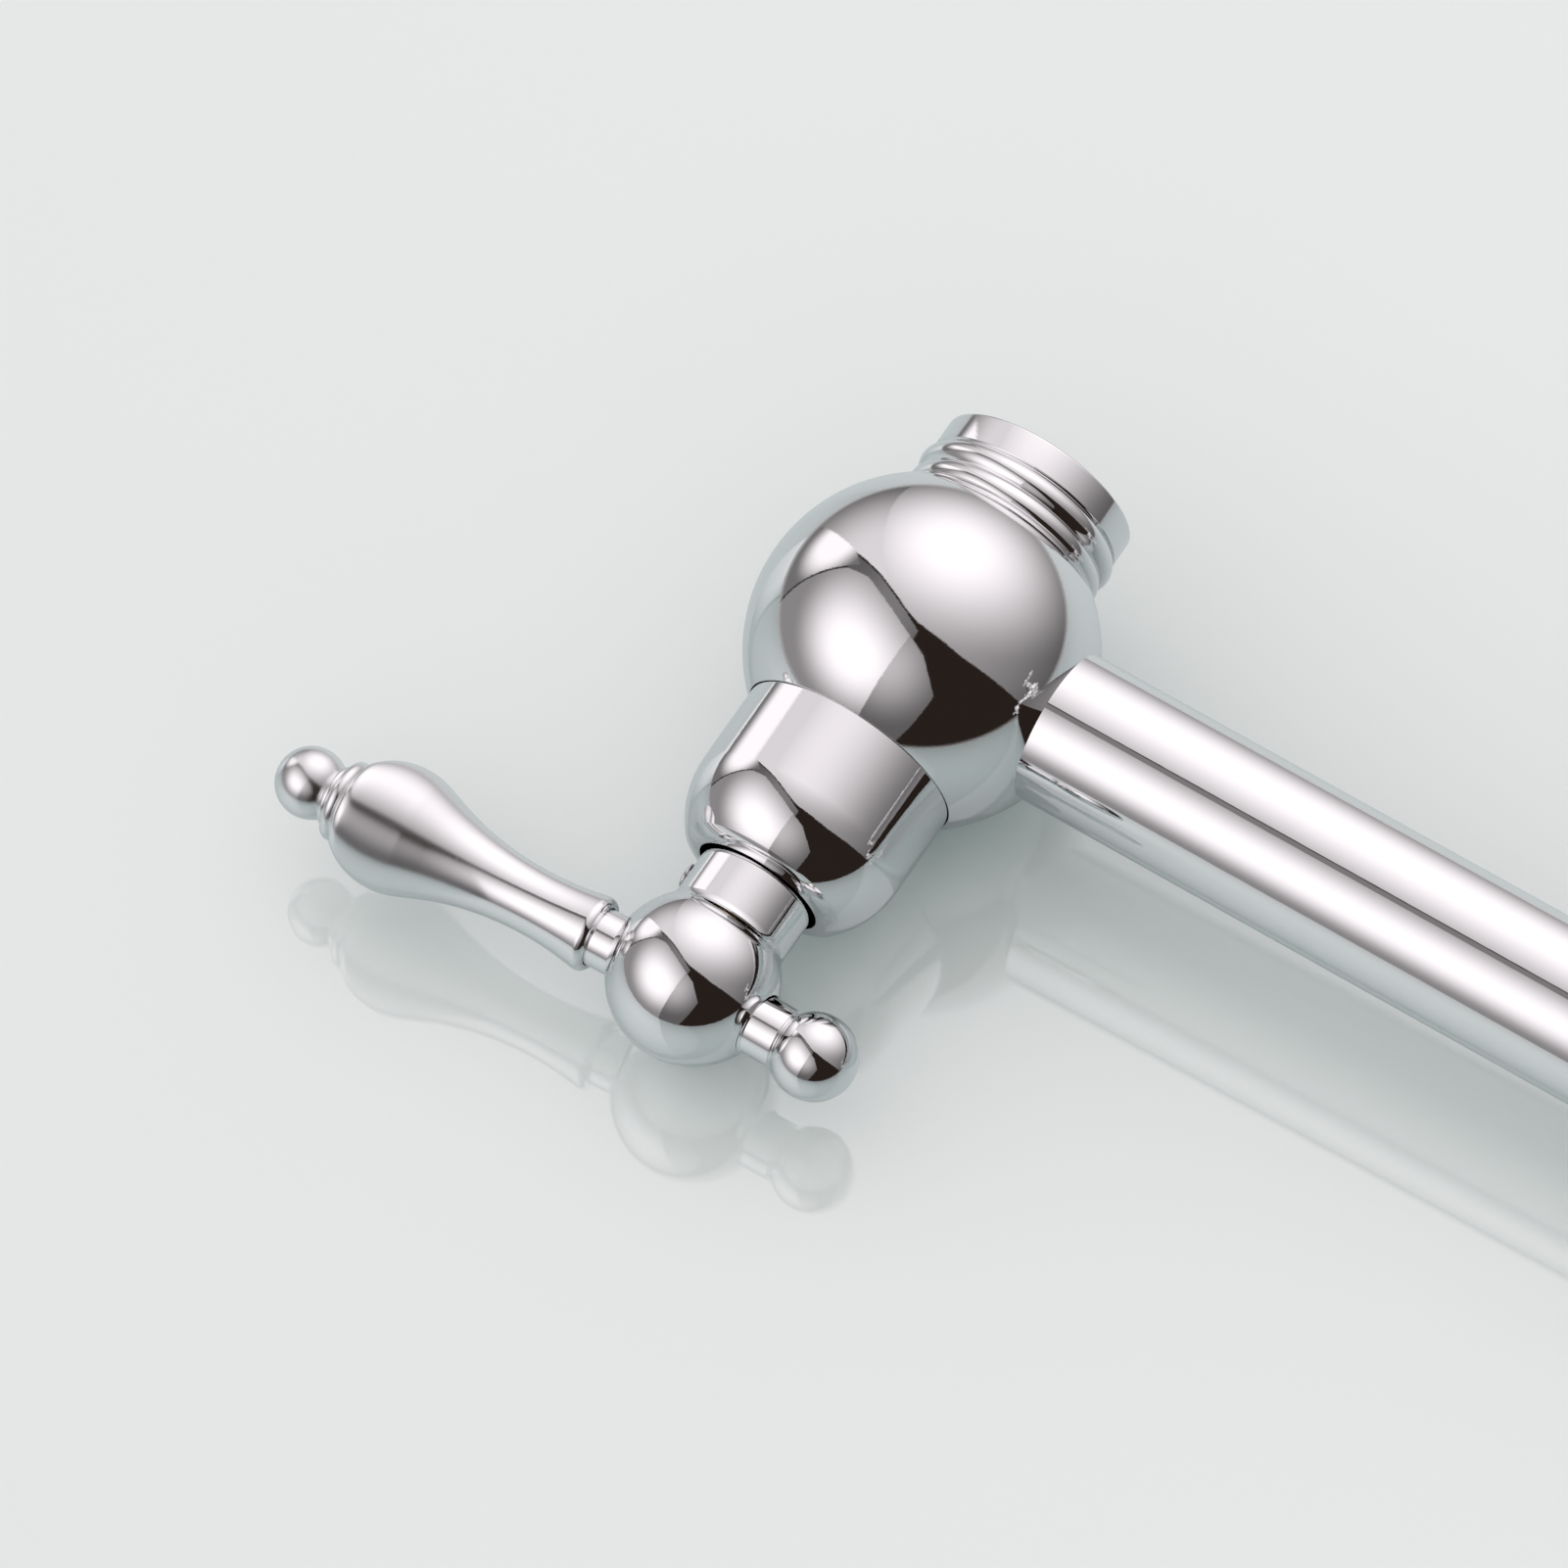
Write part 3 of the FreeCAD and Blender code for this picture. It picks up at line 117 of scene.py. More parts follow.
def glass_sheet():
    """A round flat sheet: the point at angle a and distance d is the middle + d (cos a, sin a)."""
    turn = np.linspace(0.0, 2 * np.pi, SHEET_SIDES, endpoint=False)
    rim = np.outer(np.cos(turn), sheet_right) + np.outer(np.sin(turn), sheet_away)
    spots = (SHEET_SPOT + rim * SHEET_REACH) * 1000
    sheet = new_mesh("glass_sheet", spots, [list(range(SHEET_SIDES))])
    finish, tree, shader = new_finish("pale glass")
    place = add_node(tree, "ShaderNodeTexCoord").outputs["Object"]
    cloud = add_node(tree, "ShaderNodeTexNoise", inputs={
        "Vector": place, "Scale": 6.0, "Detail": 2.0,
    })
    lit = add_node(tree, "ShaderNodeMix", {"data_type": "RGBA"}, {
        "Factor": cloud.outputs["Fac"], "A": SHEET_DARKER, "B": SHEET_LIGHTER,
    })
    seen_by_eye = add_node(tree, "ShaderNodeLightPath").outputs["Is Camera Ray"]
    # Painted shade: every ray but the camera's sees the sheet's darker, greener base.
    base = add_node(tree, "ShaderNodeMix", {"data_type": "RGBA"}, {
        "Factor": seen_by_eye, "A": SHEET_SHADED_OFF_CAMERA, "B": lit.outputs["Result"],
    })
    own = add_node(tree, "ShaderNodeMix", {"data_type": "RGBA"}, {
        "Factor": seen_by_eye, "A": UNLIT, "B": SHEET_GREEN,
    })
    tree.links.new(base.outputs["Result"], shader.inputs["Base Color"])
    tree.links.new(own.outputs["Result"], shader.inputs["Emission Color"])
    shader.inputs["Emission Strength"].default_value = 1.0
    shader.inputs["Roughness"].default_value = SHEET_ROUGHNESS
    shader.inputs["IOR"].default_value = SHEET_IOR
    far = add_node(tree, "ShaderNodeVectorMath", {"operation": "DISTANCE"}, {
        0: place, 1: SHEET_SPOT,
    })
    fade = add_node(tree, "ShaderNodeMapRange", {"interpolation_type": "SMOOTHSTEP"}, {
        "Value": far.outputs["Value"],
        "From Min": SHEET_REACH - SHEET_FADE, "From Max": SHEET_REACH - SHEET_RIM,
    })
    back = add_node(tree, "ShaderNodeNewGeometry").outputs["Backfacing"]
    gone = add_node(tree, "ShaderNodeMath", {"operation": "MAXIMUM"}, {
        0: fade.outputs["Result"], 1: back,
    })
    clear = add_node(tree, "ShaderNodeBsdfTransparent")
    seen = add_node(tree, "ShaderNodeMixShader", inputs={
        0: gone.outputs["Value"], 1: shader.outputs["BSDF"], 2: clear.outputs["BSDF"],
    })
    tree.links.new(seen.outputs["Shader"], tree.nodes["Material Output"].inputs["Surface"])
    sheet.data.materials.append(finish)


glass_sheet()


# ---- Soft boxes
# Two large soft boxes and a narrow one stand round the sheet, under a grey ceiling with a dimmer
# beam. Each is a field of the sky with straight edges, brightest at one spot. The shade on the
# sheet comes from one broad light on the left, which the chrome doesn't show.

world = bpy.data.worlds.new("studio")
bpy.context.scene.world = world
world.use_nodes = True
sky = world.node_tree
sky_way = add_node(sky, "ShaderNodeTexCoord").outputs["Generated"]
BOX_TINT = (1.028, 0.974, 0.997)


def aim(azimuth, elevation):
    """Direction at so many degrees from away towards the right, and so many above the sheet."""
    turn, rise = np.radians(azimuth), np.radians(elevation)
    level = sheet_right * np.sin(turn) + sheet_away * np.cos(turn)
    return level * np.cos(rise) + sheet_up * np.sin(rise)


def along(way):
    """Cosine of the angle between the seen direction and a fixed one."""
    return add_node(sky, "ShaderNodeVectorMath", {"operation": "DOT_PRODUCT"}, {
        0: sky_way, 1: way,
    }).outputs["Value"]


def ramp(value, low, high, bottom=0.0, top=1.0):
    """A smooth step from bottom to top while the value goes from low to high."""
    return add_node(sky, "ShaderNodeMapRange", {"interpolation_type": "SMOOTHSTEP"}, {
        "Value": value, "From Min": low, "From Max": high, "To Min": bottom, "To Max": top,
    }).outputs["Result"]


def reckon(operation, first, second):
    """One step of arithmetic."""
    return add_node(sky, "ShaderNodeMath", {"operation": operation}, {
        0: first, 1: second,
    }).outputs["Value"]


def field(corners, soft=0.008, grown=0.0):
    """1 inside a convex field of the sky: the least cosine to its sides' normals is above 0.

    Grown by an angle in radians, it reaches that much further on every side.
    """
    ways = np.array([aim(*corner) for corner in corners])
    middle = ways.mean(axis=0)
    least = None
    for first, second in zip(ways, np.roll(ways, -1, axis=0)):
        normal = np.cross(first, second)
        normal *= np.sign(normal @ middle) / np.linalg.norm(normal)
        inside = along(normal)
        least = inside if least is None else reckon("MINIMUM", least, inside)
    return ramp(least, -soft - grown, soft - grown)


def lay(under, mask, colour):
    """Puts a colour over another where the mask is 1."""
    return add_node(sky, "ShaderNodeMix", {"data_type": "RGBA"}, {
        "Factor": mask, "A": under, "B": colour,
    }).outputs["Result"]


def glow(hot, core, rim, gain, low, rise=0.0, squash=0.0):
    """A soft box's light: a level that changes with height, and a smooth fall round its hot spot.

    The fall goes from gain to 0 while the angle from the hot spot goes from core to rim, in
    degrees. With a squash, that angle becomes the root of
    angle^2 + squash (height - hot spot's height)^2, so the fall is quicker up and down than across.
    """
    height = along(sheet_up)
    off = reckon("ARCCOSINE", along(aim(*hot)), 0.0)
    if squash:
        apart = reckon("SUBTRACT", height, np.sin(np.radians(hot[1])))
        across = reckon("MULTIPLY", off, off)
        tall = reckon("MULTIPLY", reckon("MULTIPLY", apart, apart), squash)
        off = reckon("SQRT", reckon("ADD", across, tall), 0.0)
    level = reckon("ADD", reckon("MULTIPLY", height, rise), low)
    level = reckon("ADD", level, ramp(off, np.radians(core), np.radians(rim), gain, 0.0))
    return add_node(sky, "ShaderNodeVectorMath", {"operation": "SCALE"}, {
        0: BOX_TINT, "Scale": level,
    }).outputs["Vector"]


DARK = (0.022, 0.015, 0.012, 1)
BIG_BOX = [
    (-2, -8), (-41, 55), (-62, 67.5), (-127, 77.5), (172, 65), (147, 49.5), (129.5, 5),
    (125, -12), (60, -24), (9, -14),
]
SIDE_BOX = [
    (-62, -10), (-54, 36), (-59.5, 55), (-70.5, 61.7), (-105.6, 69.9), (-152, 67.5), (-173, 60),
    (180, 53), (173, 26), (-171, 4), (-162, -10), (-110, -24),
]
NARROW_BOX = [(-30, -10), (-41, 34), (-50, 43), (-54, 30), (-61, -10)]
CEILING = [(-45, -10), (-66, 67), (-30, 72), (20, 10), (20, -10)]
BEAM = [
    (-43.5, 36), (-48.5, 50), (-61, 66.2), (-128, 76.3), (-171, 69), (-164, 60), (-110, 55),
    (-62, 36),
]
BEAM_BORDER = 0.018
FOLD = np.cross(aim(-165, 69), aim(-144, 16))
FOLD *= np.sign(FOLD @ aim(-170, 30)) / np.linalg.norm(FOLD)
FOLD_SOFT = 0.004
seen_sky = lay(DARK, field(CEILING), glow(hot=(-38, 50), core=14, rim=72, gain=0.64, low=0.12))
seen_sky = lay(seen_sky, field(BEAM, grown=BEAM_BORDER), DARK)
seen_sky = lay(seen_sky, field(BEAM), glow(hot=(-95, 73), core=4, rim=38, gain=0.09, low=0.12))
seen_sky = lay(seen_sky, field(NARROW_BOX), glow(
    hot=(-39, 17.5), core=9, rim=24, gain=0.93, low=0.18,
))
side_light = glow(hot=(-118, 34), core=8, rim=62, gain=0.95, low=0.27, squash=1.6)
side_light = lay(side_light, ramp(along(FOLD), -FOLD_SOFT, FOLD_SOFT), glow(
    hot=(-148, 42), core=0, rim=42, gain=0.46, low=0.12,
))
seen_sky = lay(seen_sky, field(SIDE_BOX), side_light)
seen_sky = lay(seen_sky, field(BIG_BOX), glow(
    hot=(26.5, 44.4), core=0, rim=77, gain=0.948, low=0.145, rise=0.257,
))

SHADE_LIGHT = aim(-125, 30)
SHADE_START, SHADE_END, SHADE_DIM, SHADE_BRIGHT = -0.8, 1.0, 0.42, 1.335
BELOW_START, BELOW_END = -0.20, -0.11
BELOW, BACKDROP = (0.50, 0.50, 0.50, 1), (0.825, 0.832, 0.828, 1)
rays = add_node(sky, "ShaderNodeLightPath").outputs
seen_sky = lay(seen_sky, rays["Is Diffuse Ray"], ramp(
    along(SHADE_LIGHT), SHADE_START, SHADE_END, SHADE_DIM, SHADE_BRIGHT,
))
seen_sky = lay(seen_sky, ramp(along(sheet_up), BELOW_START, BELOW_END, 1.0, 0.0), BELOW)
seen_sky = lay(seen_sky, rays["Is Camera Ray"], BACKDROP)
sky.links.new(seen_sky, sky.nodes["Background"].inputs["Color"])


# ---- Wall fittings
# Brass, turned and polished, then plated: the shank between the wall and the first ball body, and
# the bell-shaped flange that hides the hole in the wall. A small screw holds the flange in place.

LEAST_CORNER, WIDEST_CORNER = 0.05, 2.4
CUT_SHARE = 0.4
ARC_STEP, LEAST_STEPS = 3, 4
SAME_SPOT, ON_AXIS = 1e-5, 1e-6


def outline_curve(outline, edge):
    """Points and outward normals along a closed outline of (radius, height[, arc radius]) points.

    A straight run is a + t (b - a). An arc turns about the point at its radius from both ends, on
    the left for a positive radius, which bulges out, and on the right for a negative one. Where
    two runs meet at an angle, both are cut back by edge tan(angle / 2), and a quadratic curve
    joins them. The run along the axis is put last and left out, so that nothing joins the points
    at its ends.
    """
    corners = np.array([row[:2] for row in outline], dtype=float)
    on_axis = np.flatnonzero((corners[:, 0] == 0) & (np.roll(corners[:, 0], -1) == 0))
    if len(on_axis):
        outline = outline[on_axis[0] + 1:] + outline[:on_axis[0] + 1]
        corners = np.roll(corners, -(on_axis[0] + 1), axis=0)
    runs = []
    for index, row in enumerate(outline):
        a, b = corners[index], corners[(index + 1) % len(outline)]
        if a[0] == 0 and b[0] == 0:
            continue
        chord = b - a
        length = np.linalg.norm(chord)
        if len(row) == 2:
            side = np.array((chord[1], -chord[0])) / length
            runs.append({"length": length, "at": lambda t, a=a, chord=chord: a + t[:, None] * chord,
                         "out": lambda t, side=side: np.repeat(side[None], len(t), 0), "steps": 1})
            continue
        radius = row[2]
        left = np.array((-chord[1], chord[0])) / length
        centre = a + chord / 2 + left * np.sign(radius) * np.sqrt(radius ** 2 - length ** 2 / 4)
        start = np.arctan2(*(a - centre)[::-1])
        sweep = np.arctan2(*(b - centre)[::-1]) - start
        sweep = np.mod(sweep, 2 * np.pi) if radius > 0 else -np.mod(-sweep, 2 * np.pi)

        def ray(t, start=start, sweep=sweep):
            return np.stack((np.cos(start + sweep * t), np.sin(start + sweep * t)), axis=1)

        steps = max(LEAST_STEPS, int(np.ceil(np.degrees(abs(sweep)) / ARC_STEP)))
        runs.append({"length": abs(radius * sweep),
                     "at": lambda t, ray=ray, c=centre, r=abs(radius): c + r * ray(t),
                     "out": lambda t, ray=ray, s=np.sign(radius): s * ray(t), "steps": steps})
    closed = corners[:, 0].min() > 0
    count = len(runs)
    back = np.zeros(count)
    front = np.zeros(count)
    one, zero = np.ones(1), np.zeros(1)
    for index in range(count if closed else count - 1):
        follow = (index + 1) % count
        cosine = (runs[index]["out"](one) @ runs[follow]["out"](zero).T).item()
        angle = np.arccos(np.clip(cosine, -1, 1))
        if angle > LEAST_CORNER:
            back[index] = front[follow] = min(
                edge * np.tan(min(angle, WIDEST_CORNER) / 2),
                CUT_SHARE * runs[index]["length"], CUT_SHARE * runs[follow]["length"],
            )
    spots, sides = [], []
    for index, run in enumerate(runs):
        begin, end = front[index] / run["length"], 1 - back[index] / run["length"]
        t = np.linspace(begin, end, run["steps"] + 1)
        here, out = run["at"](t), run["out"](t)
        if spots and np.linalg.norm(spots[-1][-1] - here[0]) < SAME_SPOT:
            here, out = here[1:], out[1:]
        spots.append(here)
        sides.append(out)
        if back[index]:
            follow = runs[(index + 1) % count]
            corner = run["at"](one)
            entry = np.array([front[(index + 1) % count] / follow["length"]])
            last, last_out = follow["at"](entry), follow["out"](entry)
            u = np.array((0.25, 0.5, 0.75))[:, None]
            spots.append((1 - u) ** 2 * here[-1:] + 2 * u * (1 - u) * corner + u ** 2 * last)
            mixed = (1 - u) * out[-1:] + u * last_out
            sides.append(mixed / np.linalg.norm(mixed, axis=1, keepdims=True))
    spots, sides = np.concatenate(spots), np.concatenate(sides)
    if closed and np.linalg.norm(spots[0] - spots[-1]) < SAME_SPOT:
        spots, sides = spots[:-1], sides[:-1]
    spots[np.abs(spots[:, 0]) < ON_AXIS, 0] = 0.0
    return spots, sides, closed


def quads_between(lower, upper):
    """Faces between rows of numbered rings: number, the next one round, and the two above them."""
    return np.stack((
        lower, np.roll(lower, -1, axis=1), np.roll(upper, -1, axis=1), upper,
    ), axis=2).reshape(-1, 4)


def sweep_round(curve, segments):
    """Points, normals and faces of a curve carried round the z axis: (r cos a, r sin a, h).

    A point of the curve on the axis becomes one pole.
    """
    spots, sides, closed = curve
    turn = np.linspace(0.0, 2 * np.pi, segments, endpoint=False)
    ring = np.stack((np.cos(turn), np.sin(turn)), axis=1)

    def carry(pairs):
        flat = pairs[:, None, :1] * ring[None]
        tall = np.repeat(pairs[:, None, 1:], segments, axis=1)
        return np.concatenate((flat, tall), axis=2).reshape(-1, 3)

    number = np.arange(len(spots) * segments).reshape(len(spots), segments)
    number[spots[:, 0] == 0] = number[spots[:, 0] == 0][:, :1]
    if closed:
        faces = quads_between(number, np.roll(number, -1, axis=0))
    else:
        faces = quads_between(number[:-1], number[1:])
    used, renumbered = np.unique(faces, return_inverse=True)
    faces = renumbered.reshape(-1, 4)
    low_pole = faces[:, 0] == faces[:, 1]
    high_pole = faces[:, 2] == faces[:, 3]
    quads = faces[~(low_pole | high_pole)].tolist()
    triangles = faces[low_pole][:, [0, 2, 3]].tolist()
    triangles += faces[high_pole & ~low_pole][:, [0, 1, 2]].tolist()
    out = carry(sides)[used]
    flat = spots[used // segments, 0] == 0
    upward = np.sign(sides[used[flat] // segments, 1:])
    out[flat] = np.concatenate((np.zeros((flat.sum(), 2)), upward), axis=1)
    return carry(spots)[used], out, quads + triangles


def set_down(spots, place):
    """Points carried to a place: the turned point + the shift."""
    return spots @ place[:3, :3].T + place[:3, 3]


def turned(name, outline, place, edge=0.15, segments=128, polish=None):
    """A piece turned on a lathe: its outline carried round the z axis, then put in its place.

    Where a polish is given, it changes the outline's normals but not its points.
    """
    curve = outline_curve(outline, edge)
    if polish:
        curve = polish(*curve)
    spots, out, faces = sweep_round(curve, segments)
    return new_mesh(name, set_down(spots, place), faces, out @ place[:3, :3].T)


def placed(x, y, z, turn=np.eye(3)):
    """A place in millimetres with its three axes as the columns of a 3 by 3 matrix."""
    made = np.eye(4)
    made[:3, :3] = turn
    made[:3, 3] = (x, y, z)
    return made


def about_y(degrees):
    """A turn about the y axis, which takes z towards x."""
    c, s = np.cos(np.radians(degrees)), np.sin(np.radians(degrees))
    return placed(0, 0, 0, np.array(((c, 0, s), (0, 1, 0), (-s, 0, c))))


def arc_to(across, length):
    """Radius of an arc that starts along the turning axis and ends so far across and along."""
    return (across ** 2 + length ** 2) / (2 * across)


SPECK_EDGE, GRIT_SHARE = 0.05, 0.15
CLOUD_LOW, CLOUD_HIGH = 0.3, 0.7


def surface_life():
    """Group: cloudy variation, sparse specks and a height, all from noise at two scales."""
    group = bpy.data.node_groups.new("surface life", "ShaderNodeTree")
    group.interface.new_socket("Vector", in_out="INPUT", socket_type="NodeSocketVector")
    for name in ("Cloud Scale", "Speck Scale", "Speck Level"):
        group.interface.new_socket(name, in_out="INPUT", socket_type="NodeSocketFloat")
    for name in ("Cloud", "Specks", "Height"):
        group.interface.new_socket(name, in_out="OUTPUT", socket_type="NodeSocketFloat")
    given = add_node(group, "NodeGroupInput").outputs
    cloud = add_node(group, "ShaderNodeTexNoise", inputs={
        "Vector": given["Vector"], "Scale": given["Cloud Scale"], "Detail": 4.0,
    }).outputs["Fac"]
    grit = add_node(group, "ShaderNodeTexNoise", inputs={
        "Vector": given["Vector"], "Scale": given["Speck Scale"], "Detail": 1.0,
    }).outputs["Fac"]
    over = add_node(group, "ShaderNodeMath", {"operation": "ADD"}, {
        0: given["Speck Level"], 1: SPECK_EDGE,
    })
    specks = add_node(group, "ShaderNodeMapRange", inputs={
        "Value": grit, "From Min": given["Speck Level"], "From Max": over.outputs["Value"],
    }).outputs["Result"]
    height = add_node(group, "ShaderNodeMath", {"operation": "MULTIPLY_ADD"}, {
        0: grit, 1: GRIT_SHARE, 2: cloud,
    })
    add_node(group, "NodeGroupOutput", inputs={
        "Cloud": cloud, "Specks": specks, "Height": height.outputs["Value"],
    })
    return group


LIFE = surface_life()


def lively(name, colours, roughness, cloud, speck, speck_level, bump,
           speck_rough=0.0, metallic=0.0, stretch=(1, 1, 1)):
    """A finish between two colours and two roughnesses, after the group's cloud, with a fine bump.

    cloud and speck are the scales of the group's two noises, and bump is the Bump node's distance.
    """
    made, tree, shader = new_finish(name)
    place = add_node(tree, "ShaderNodeTexCoord").outputs["Object"]
    if stretch != (1, 1, 1):
        place = add_node(tree, "ShaderNodeMapping", inputs={
            "Vector": place, "Scale": stretch,
        }).outputs["Vector"]
    life = add_node(tree, "ShaderNodeGroup", {"node_tree": LIFE}, {
        "Vector": place, "Cloud Scale": cloud, "Speck Scale": speck, "Speck Level": speck_level,
    }).outputs
    colour = add_node(tree, "ShaderNodeMix", {"data_type": "RGBA"}, {
        "Factor": life["Cloud"], "A": colours[0] + (1,), "B": colours[1] + (1,),
    }).outputs["Result"]
    rough = add_node(tree, "ShaderNodeMapRange", inputs={
        "Value": life["Cloud"], "From Min": CLOUD_LOW, "From Max": CLOUD_HIGH,
        "To Min": roughness[0], "To Max": roughness[1],
    }).outputs["Result"]
    if speck_rough:
        rough = add_node(tree, "ShaderNodeMath", {"operation": "MULTIPLY_ADD"}, {
            0: life["Specks"], 1: speck_rough, 2: rough,
        }).outputs["Value"]
    normal = add_node(tree, "ShaderNodeBump", inputs={
        "Strength": 1.0, "Distance": bump, "Height": life["Height"],
    }).outputs["Normal"]
    tree.links.new(colour, shader.inputs["Base Color"])
    tree.links.new(rough, shader.inputs["Roughness"])
    tree.links.new(normal, shader.inputs["Normal"])
    shader.inputs["Metallic"].default_value = metallic
    return made


CHROME_COLOURS = ((0.90, 0.90, 0.905), (0.86, 0.862, 0.868))
CHROME_ROUGHNESS = (0.02, 0.05)
chrome = lively(
    "polished chrome plate", CHROME_COLOURS, CHROME_ROUGHNESS, cloud=45.0, speck=2600.0,
    speck_level=0.80, bump=0.000012, speck_rough=0.15, metallic=1.0,
)


def plated(piece, body, *nodes, finish=chrome, slot="chrome plate"):
    """Gives a piece its finish, and says what it rides on and which nodes it stands for."""
    piece.data.materials.append(finish)
    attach(piece, body)
    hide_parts(*nodes)


REACH = 62.0
SHANK, SHANK_BORE = 13.0, 8.0
THREAD, THREAD_END = 12.0, 19.87
NIPPLE_HOLE, NIPPLE_STOP = 10.58, 45.0
BALL, COLLAR_BASE = 24.5, 14.9
SMALL_BEAD, BIG_BEAD = 2.6, 3.32
COLLAR_JOIN = np.sqrt(BALL ** 2 - COLLAR_BASE ** 2)
SMALL_BEAD_END = COLLAR_JOIN + SMALL_BEAD
COLLAR_FACE = SMALL_BEAD_END + BIG_BEAD
wall_valve = placed(0, -REACH, 0, np.array(((0, 1, 0), (0, 0, -1), (-1, 0, 0))))
plated(
    turned("wall_shank_plated", [
        (NIPPLE_HOLE, -REACH), (SHANK, -REACH), (SHANK, -COLLAR_FACE), (THREAD, -COLLAR_FACE),
        (THREAD, -THREAD_END), (SHANK_BORE, -THREAD_END), (SHANK_BORE, -NIPPLE_STOP),
        (NIPPLE_HOLE, -NIPPLE_STOP),
    ], wall_valve),
    "wall_body", "wall_shank",
)
FLANGE, FLANGE_NECK, FLANGE_WALL = 30.0, 16.4, 2.2
FLANGE_INSIDE, FLANGE_HOLE = FLANGE - FLANGE_WALL, SHANK + 0.1
FLANGE_EDGE, FLANGE_TOP, GASKET_FACE = 2.5 - REACH, 16.0 - REACH, 2.0 - REACH
FLANGE_NECK_FOOT = FLANGE_TOP - 5.5
FLANGE_BEND = -0.9 * (FLANGE - FLANGE_NECK)
GASKET_WIDTH = 4.0
ROUNDED, ROUNDED_BEND = 0.4, 0.42
plated(
    turned("wall_flange_plated", [
        (FLANGE_INSIDE, -REACH), (FLANGE, -REACH), (FLANGE, FLANGE_EDGE, FLANGE_BEND),
        (FLANGE_NECK, FLANGE_NECK_FOOT), (FLANGE_NECK, FLANGE_TOP - ROUNDED, ROUNDED_BEND),
        (FLANGE_NECK - ROUNDED, FLANGE_TOP), (FLANGE_HOLE, FLANGE_TOP),
        (FLANGE_HOLE, FLANGE_NECK_FOOT - FLANGE_WALL),
        (FLANGE_INSIDE - GASKET_WIDTH, GASKET_FACE), (FLANGE_INSIDE, GASKET_FACE),
    ], wall_valve, edge=0.3),
    "wall_body", "wall_flange",
)


# ---- Inlet nipple
# Brass, unplated, with a rolled half-inch pipe thread that screws into the pipe in the wall. A
# hexagon key turns it from inside.

NIPPLE, PITCH, THREAD_DEPTH = 10.48, 1.814, 1.1
NIPPLE_BACK, NIPPLE_FRONT = -78.0, -46.5
NIPPLE_ROWS, NIPPLE_SIDES = 264, 96
RIDGE_SLOPE, RIDGE_FLOOR = 2.6, 0.15
THREAD_RUN_OUT, THREAD_LEFT = 1.2, 0.25
RELIEF_BACK, RELIEF_FRONT, RELIEF = -62.3, -59.2, 9.6
KEY, KEY_FLOOR, NIPPLE_BORE = 8.0, -70.0, 6.5
brass = lively(
    "plain brass", ((0.80, 0.60, 0.30), (0.68, 0.47, 0.20)), (0.22, 0.40), cloud=160.0,
    speck=2200.0, speck_level=0.62, bump=0.00002, speck_rough=0.1, metallic=1.0,
)
brass.diffuse_color = (0.75, 0.55, 0.27, 1)


def hexagon_way(turn):
    """Reach of a hexagon with corners at 1: cos 30 / cos(angle off the middle of a side)."""
    return np.cos(np.pi / 6) / np.cos(np.mod(turn, np.pi / 3) - np.pi / 6)


def nipple():
    """Rings at even heights, whose radius is the thread's.

    The thread's depth is a wave of straight flanks along (height / pitch - angle / full turn), and
    fades at the ends. A plain groove cuts it at the wall's surface. Inside, a hexagon becomes a
    round bore.
    """
    turn = np.linspace(0.0, 2 * np.pi, NIPPLE_SIDES, endpoint=False)
    height = np.linspace(NIPPLE_BACK, NIPPLE_FRONT, NIPPLE_ROWS)
    lane = np.mod(height[:, None] / PITCH - turn[None] / (2 * np.pi), 1.0)
    ridge = np.clip(RIDGE_SLOPE * np.abs(lane - 0.5) - RIDGE_FLOOR, 0, 1)
    fade = np.clip((height - NIPPLE_BACK) / THREAD_RUN_OUT, THREAD_LEFT, 1)
    fade = fade * np.clip((NIPPLE_FRONT - height) / THREAD_RUN_OUT, THREAD_LEFT, 1)
    outer = NIPPLE - THREAD_DEPTH * (1 - ridge * fade[:, None])
    outer[(height > RELIEF_BACK) & (height < RELIEF_FRONT)] = RELIEF
    key, bore = KEY * hexagon_way(turn), NIPPLE_BORE * np.ones(NIPPLE_SIDES)
    radii = np.concatenate((outer, np.stack((bore, bore, key, key))))
    levels = np.concatenate((height, (NIPPLE_FRONT, KEY_FLOOR, KEY_FLOOR, NIPPLE_BACK)))
    tall = np.repeat(levels[:, None], NIPPLE_SIDES, 1)
    spots = np.stack((radii * np.cos(turn), radii * np.sin(turn), tall), axis=2).reshape(-1, 3)
    number = np.arange(radii.size).reshape(radii.shape)
    faces = quads_between(number, np.roll(number, -1, axis=0)).tolist()
    piece = new_mesh("inlet_nipple_threaded", set_down(spots, wall_valve), faces)
    piece.data.polygons.foreach_set("use_smooth", np.zeros(len(faces), dtype=bool))
    plated(piece, "wall_body", "inlet_nipple", finish=brass, slot="plain brass")


nipple()


# ---- Valve bodies
# Cast brass balls, polished and plated. Each has a collar with two beads below, and a shallow
# recess on top that the bonnet sits in. The arm or the swivel post is soldered into its side.

